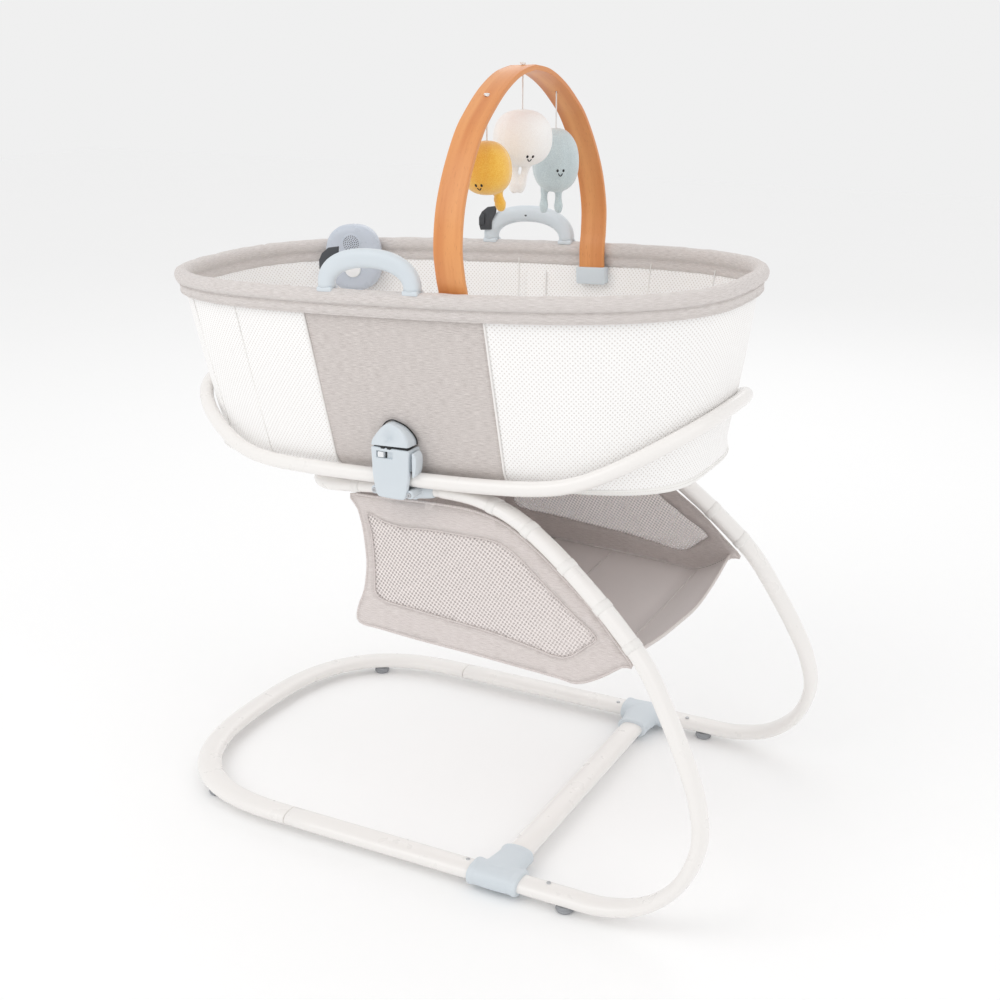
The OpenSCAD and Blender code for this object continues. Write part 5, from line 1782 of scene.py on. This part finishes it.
def closedTrim(name, path, radius, mat, sides=10):
    p = np.asarray(path)
    t = unitRows(np.roll(p, -1, 0) - np.roll(p, 1, 0))
    out = unitRows(np.cross(t, [0, 1, 0.15]))
    return sweepTube(name, p, out, radius, radius, mat, n=2, sides=sides, closed=True, ends=0)


def makeBasketFloor():
    line = smoothPath([(u, 0, z) for u, z in floorLine], 6)[:, [0, 2]]
    count, across = len(line), 61
    rows = []
    for k, (u, z) in enumerate(line):
        half = sideY(z) - 9
        y = np.linspace(-half, half, across)
        s = np.cos(np.pi * y / (2 * half))
        along = k / (count - 1)
        sag = basketPlan["floorSag"] * math.sin(math.pi * min(1, along * 1.15)) ** 0.7 if along < 0.87 else 0
        lip = max(0, (along - 0.72) / 0.28)
        wrinkle = 0.9 * np.sin(y * 0.045 + u * 0.02) * np.sin(u * 0.03)
        rows.append(np.stack([u + basketPlan["lipBulge"] * lip * s ** 1.2, y,
                              z - sag * s + wrinkle * s - 7 * lip * s + 1.0], 1))
    rows = np.array(rows)
    placed = placedRows(rows, inStand)
    floor = gridSurface("basketFloor", placed, look["basketFloor"])
    up = sum(f.normal.z * f.area for f in floor.data.polygons)
    if up < 0:
        floor.data.flip_normals()
    addModifier(floor, "SOLIDIFY", thickness=0.0024, offset=-1)
    bake(floor)
    parts = [floor]
    foot = placed[-1]
    parts.append(openTrim("basketFootPiping", foot + [0, 0, 0.001], 2.4, look["basketMelange"]))
    # the fold of the loose base board across the floor
    for k in (20, 38):
        parts.append(openTrim("basketFold", placed[k][2:-2] + [0, 0, 0.0010], 0.9, look["basketFloor"]))
    settle(merged("basketFloor", parts), "stand", ["basket_floor"])


def openTrim(name, path, radius, mat, sides=10):
    p = np.asarray(path)
    t = unitRows(np.gradient(p, axis=0))
    out = unitRows(np.cross(t, np.repeat([[0.0, 0.0, 1.0]], len(p), 0)))
    return sweepTube(name, p, out, radius, radius, mat, n=2, sides=sides, ends=radius * 0.6)


def makeBasketHead():
    line = smoothPath([(u, 0, z) for u, z in headLine], 6)[:, [0, 2]]
    rows, across = [], 61
    for k, (u, z) in enumerate(line):
        half = sideY(z) - 8
        y = np.linspace(-half, half, across)
        s = np.cos(np.pi * y / (2 * half))
        along = k / (len(line) - 1)
        rows.append(np.stack([u + 1.5 + basketPlan["headBow"] * s * math.sin(math.pi * (0.15 + 0.7 * along))
                              - 3, y, z - 14 * s * along ** 2], 1))
    rows = np.array(rows)
    placed = placedRows(rows, inStand)
    wall = gridSurface("basketHead", placed, look["basketMelange"])
    addModifier(wall, "SOLIDIFY", thickness=0.0022, offset=0)
    bake(wall)
    outward(wall)
    top = openTrim("basketHeadPiping", placed[-1], 2.2, look["basketMelange"])
    settle(merged("basketHead", [wall, top]), "stand", ["basket_head"])


def webStrap(rows, far):
    placed = placedRows(np.array(rows), lambda pts: inStand(mirrored(pts, far)))
    strap = gridSurface("webLoop", placed, look["webbing"], closeRound=True)
    addModifier(strap, "SOLIDIFY", thickness=0.0005, offset=-1)
    return bake(outward(strap))


def makeLoops():
    flat = smoothPath(legRoute, 3)
    path = np.array([(u, -sideY(z), z) for u, z in flat])
    wides = np.array([(0, 1, -lean * min(1, max(0, (z - 28) / 40))) for u, z in flat])
    straps = []
    for far in (False, True):
        for s in (31, 34, 37, 40, 43):
            mid = (path[s] + path[s + 1]) / 2
            t = unitRows(np.array([path[s + 1] - path[s]]))[0]
            w = unitRows(np.array([wides[s] - (wides[s] @ t) * t]))[0]
            h = np.cross(t, w)
            rows = []
            for off, g in ((-6, 0.15), (-5.2, 0.75), (5.2, 0.75), (6, 0.15)):
                ring = oval(18 + g, 10 + g, 2.3, np.arange(44) * 360 / 44)
                rows.append([mid + off * t + a * w + b * h for a, b in ring])
            straps.append(webStrap(rows, far))
        for u in (-68, 54):
            z0 = tubeZ(u)
            rows = []
            for off, g in ((-6, 0.15), (-5.2, 0.8), (5.2, 0.8), (6, 0.15)):
                rows.append([(u + off, -198 + a, z0 + off * tubeSlope + b) for a,
                             b in oval(9.5 + g, 9.5 + g, 2, np.arange(36) * 10)])
            straps.append(webStrap(rows, far))
    settle(merged("basketLoops", straps), "stand", ["basket_loops"])


makeBasket()
print("stage: basket made")

# ---- carried-over solids get their finishes ----
pocketTilt = math.atan2(plan["rimB"] - plan["kneeB"], plan["rimZ"] - plan["wallKnee"])
for far in (False, True):
    side = "far" if far else "near"
    rows = []
    for z, inset in ((-1, 3), (0, 0.6), (2, 0), (186, 0), (188, 0.6), (189, 3)):
        ring = oval(17 - inset, 3.4 - min(inset, 2.4), 3.2, np.arange(40) * 9)
        wallY = plan["kneeB"] + (plan["rimB"] - plan["kneeB"]) * 10 / (plan["rimZ"] - plan["wallKnee"])
        y0 = -wallY + 3.6 + 2
        rows.append([(plan["pivotU"] + a, y0 + b * math.cos(pocketTilt) - z * math.sin(pocketTilt),
                      600 + z * math.cos(pocketTilt) + b * math.sin(pocketTilt)) for a, b in ring])
    rows = np.array(rows)
    pocket = gridSurface("strutPocket_" + side, placedRows(rows, lambda pts: inCradle(mirrored(pts, far))),
                         look["whiteNet"], closeRound=True, capEnds=True)
    settle(outward(pocket), "bassinet", ["strut_" + side])

# the ring hubs take the darker plastic copy as painted shade under the covers
for name, key in (("ring_hub_near", "paintedShadePlastic"), ("ring_hub_far", "paintedShadePlastic"),
                  ("pivot_pins", "steel"), ("rim_tube", "steel"), ("base_board", "board")):
    nodes[name].data.materials.clear()
    nodes[name].data.materials.append(look[key])
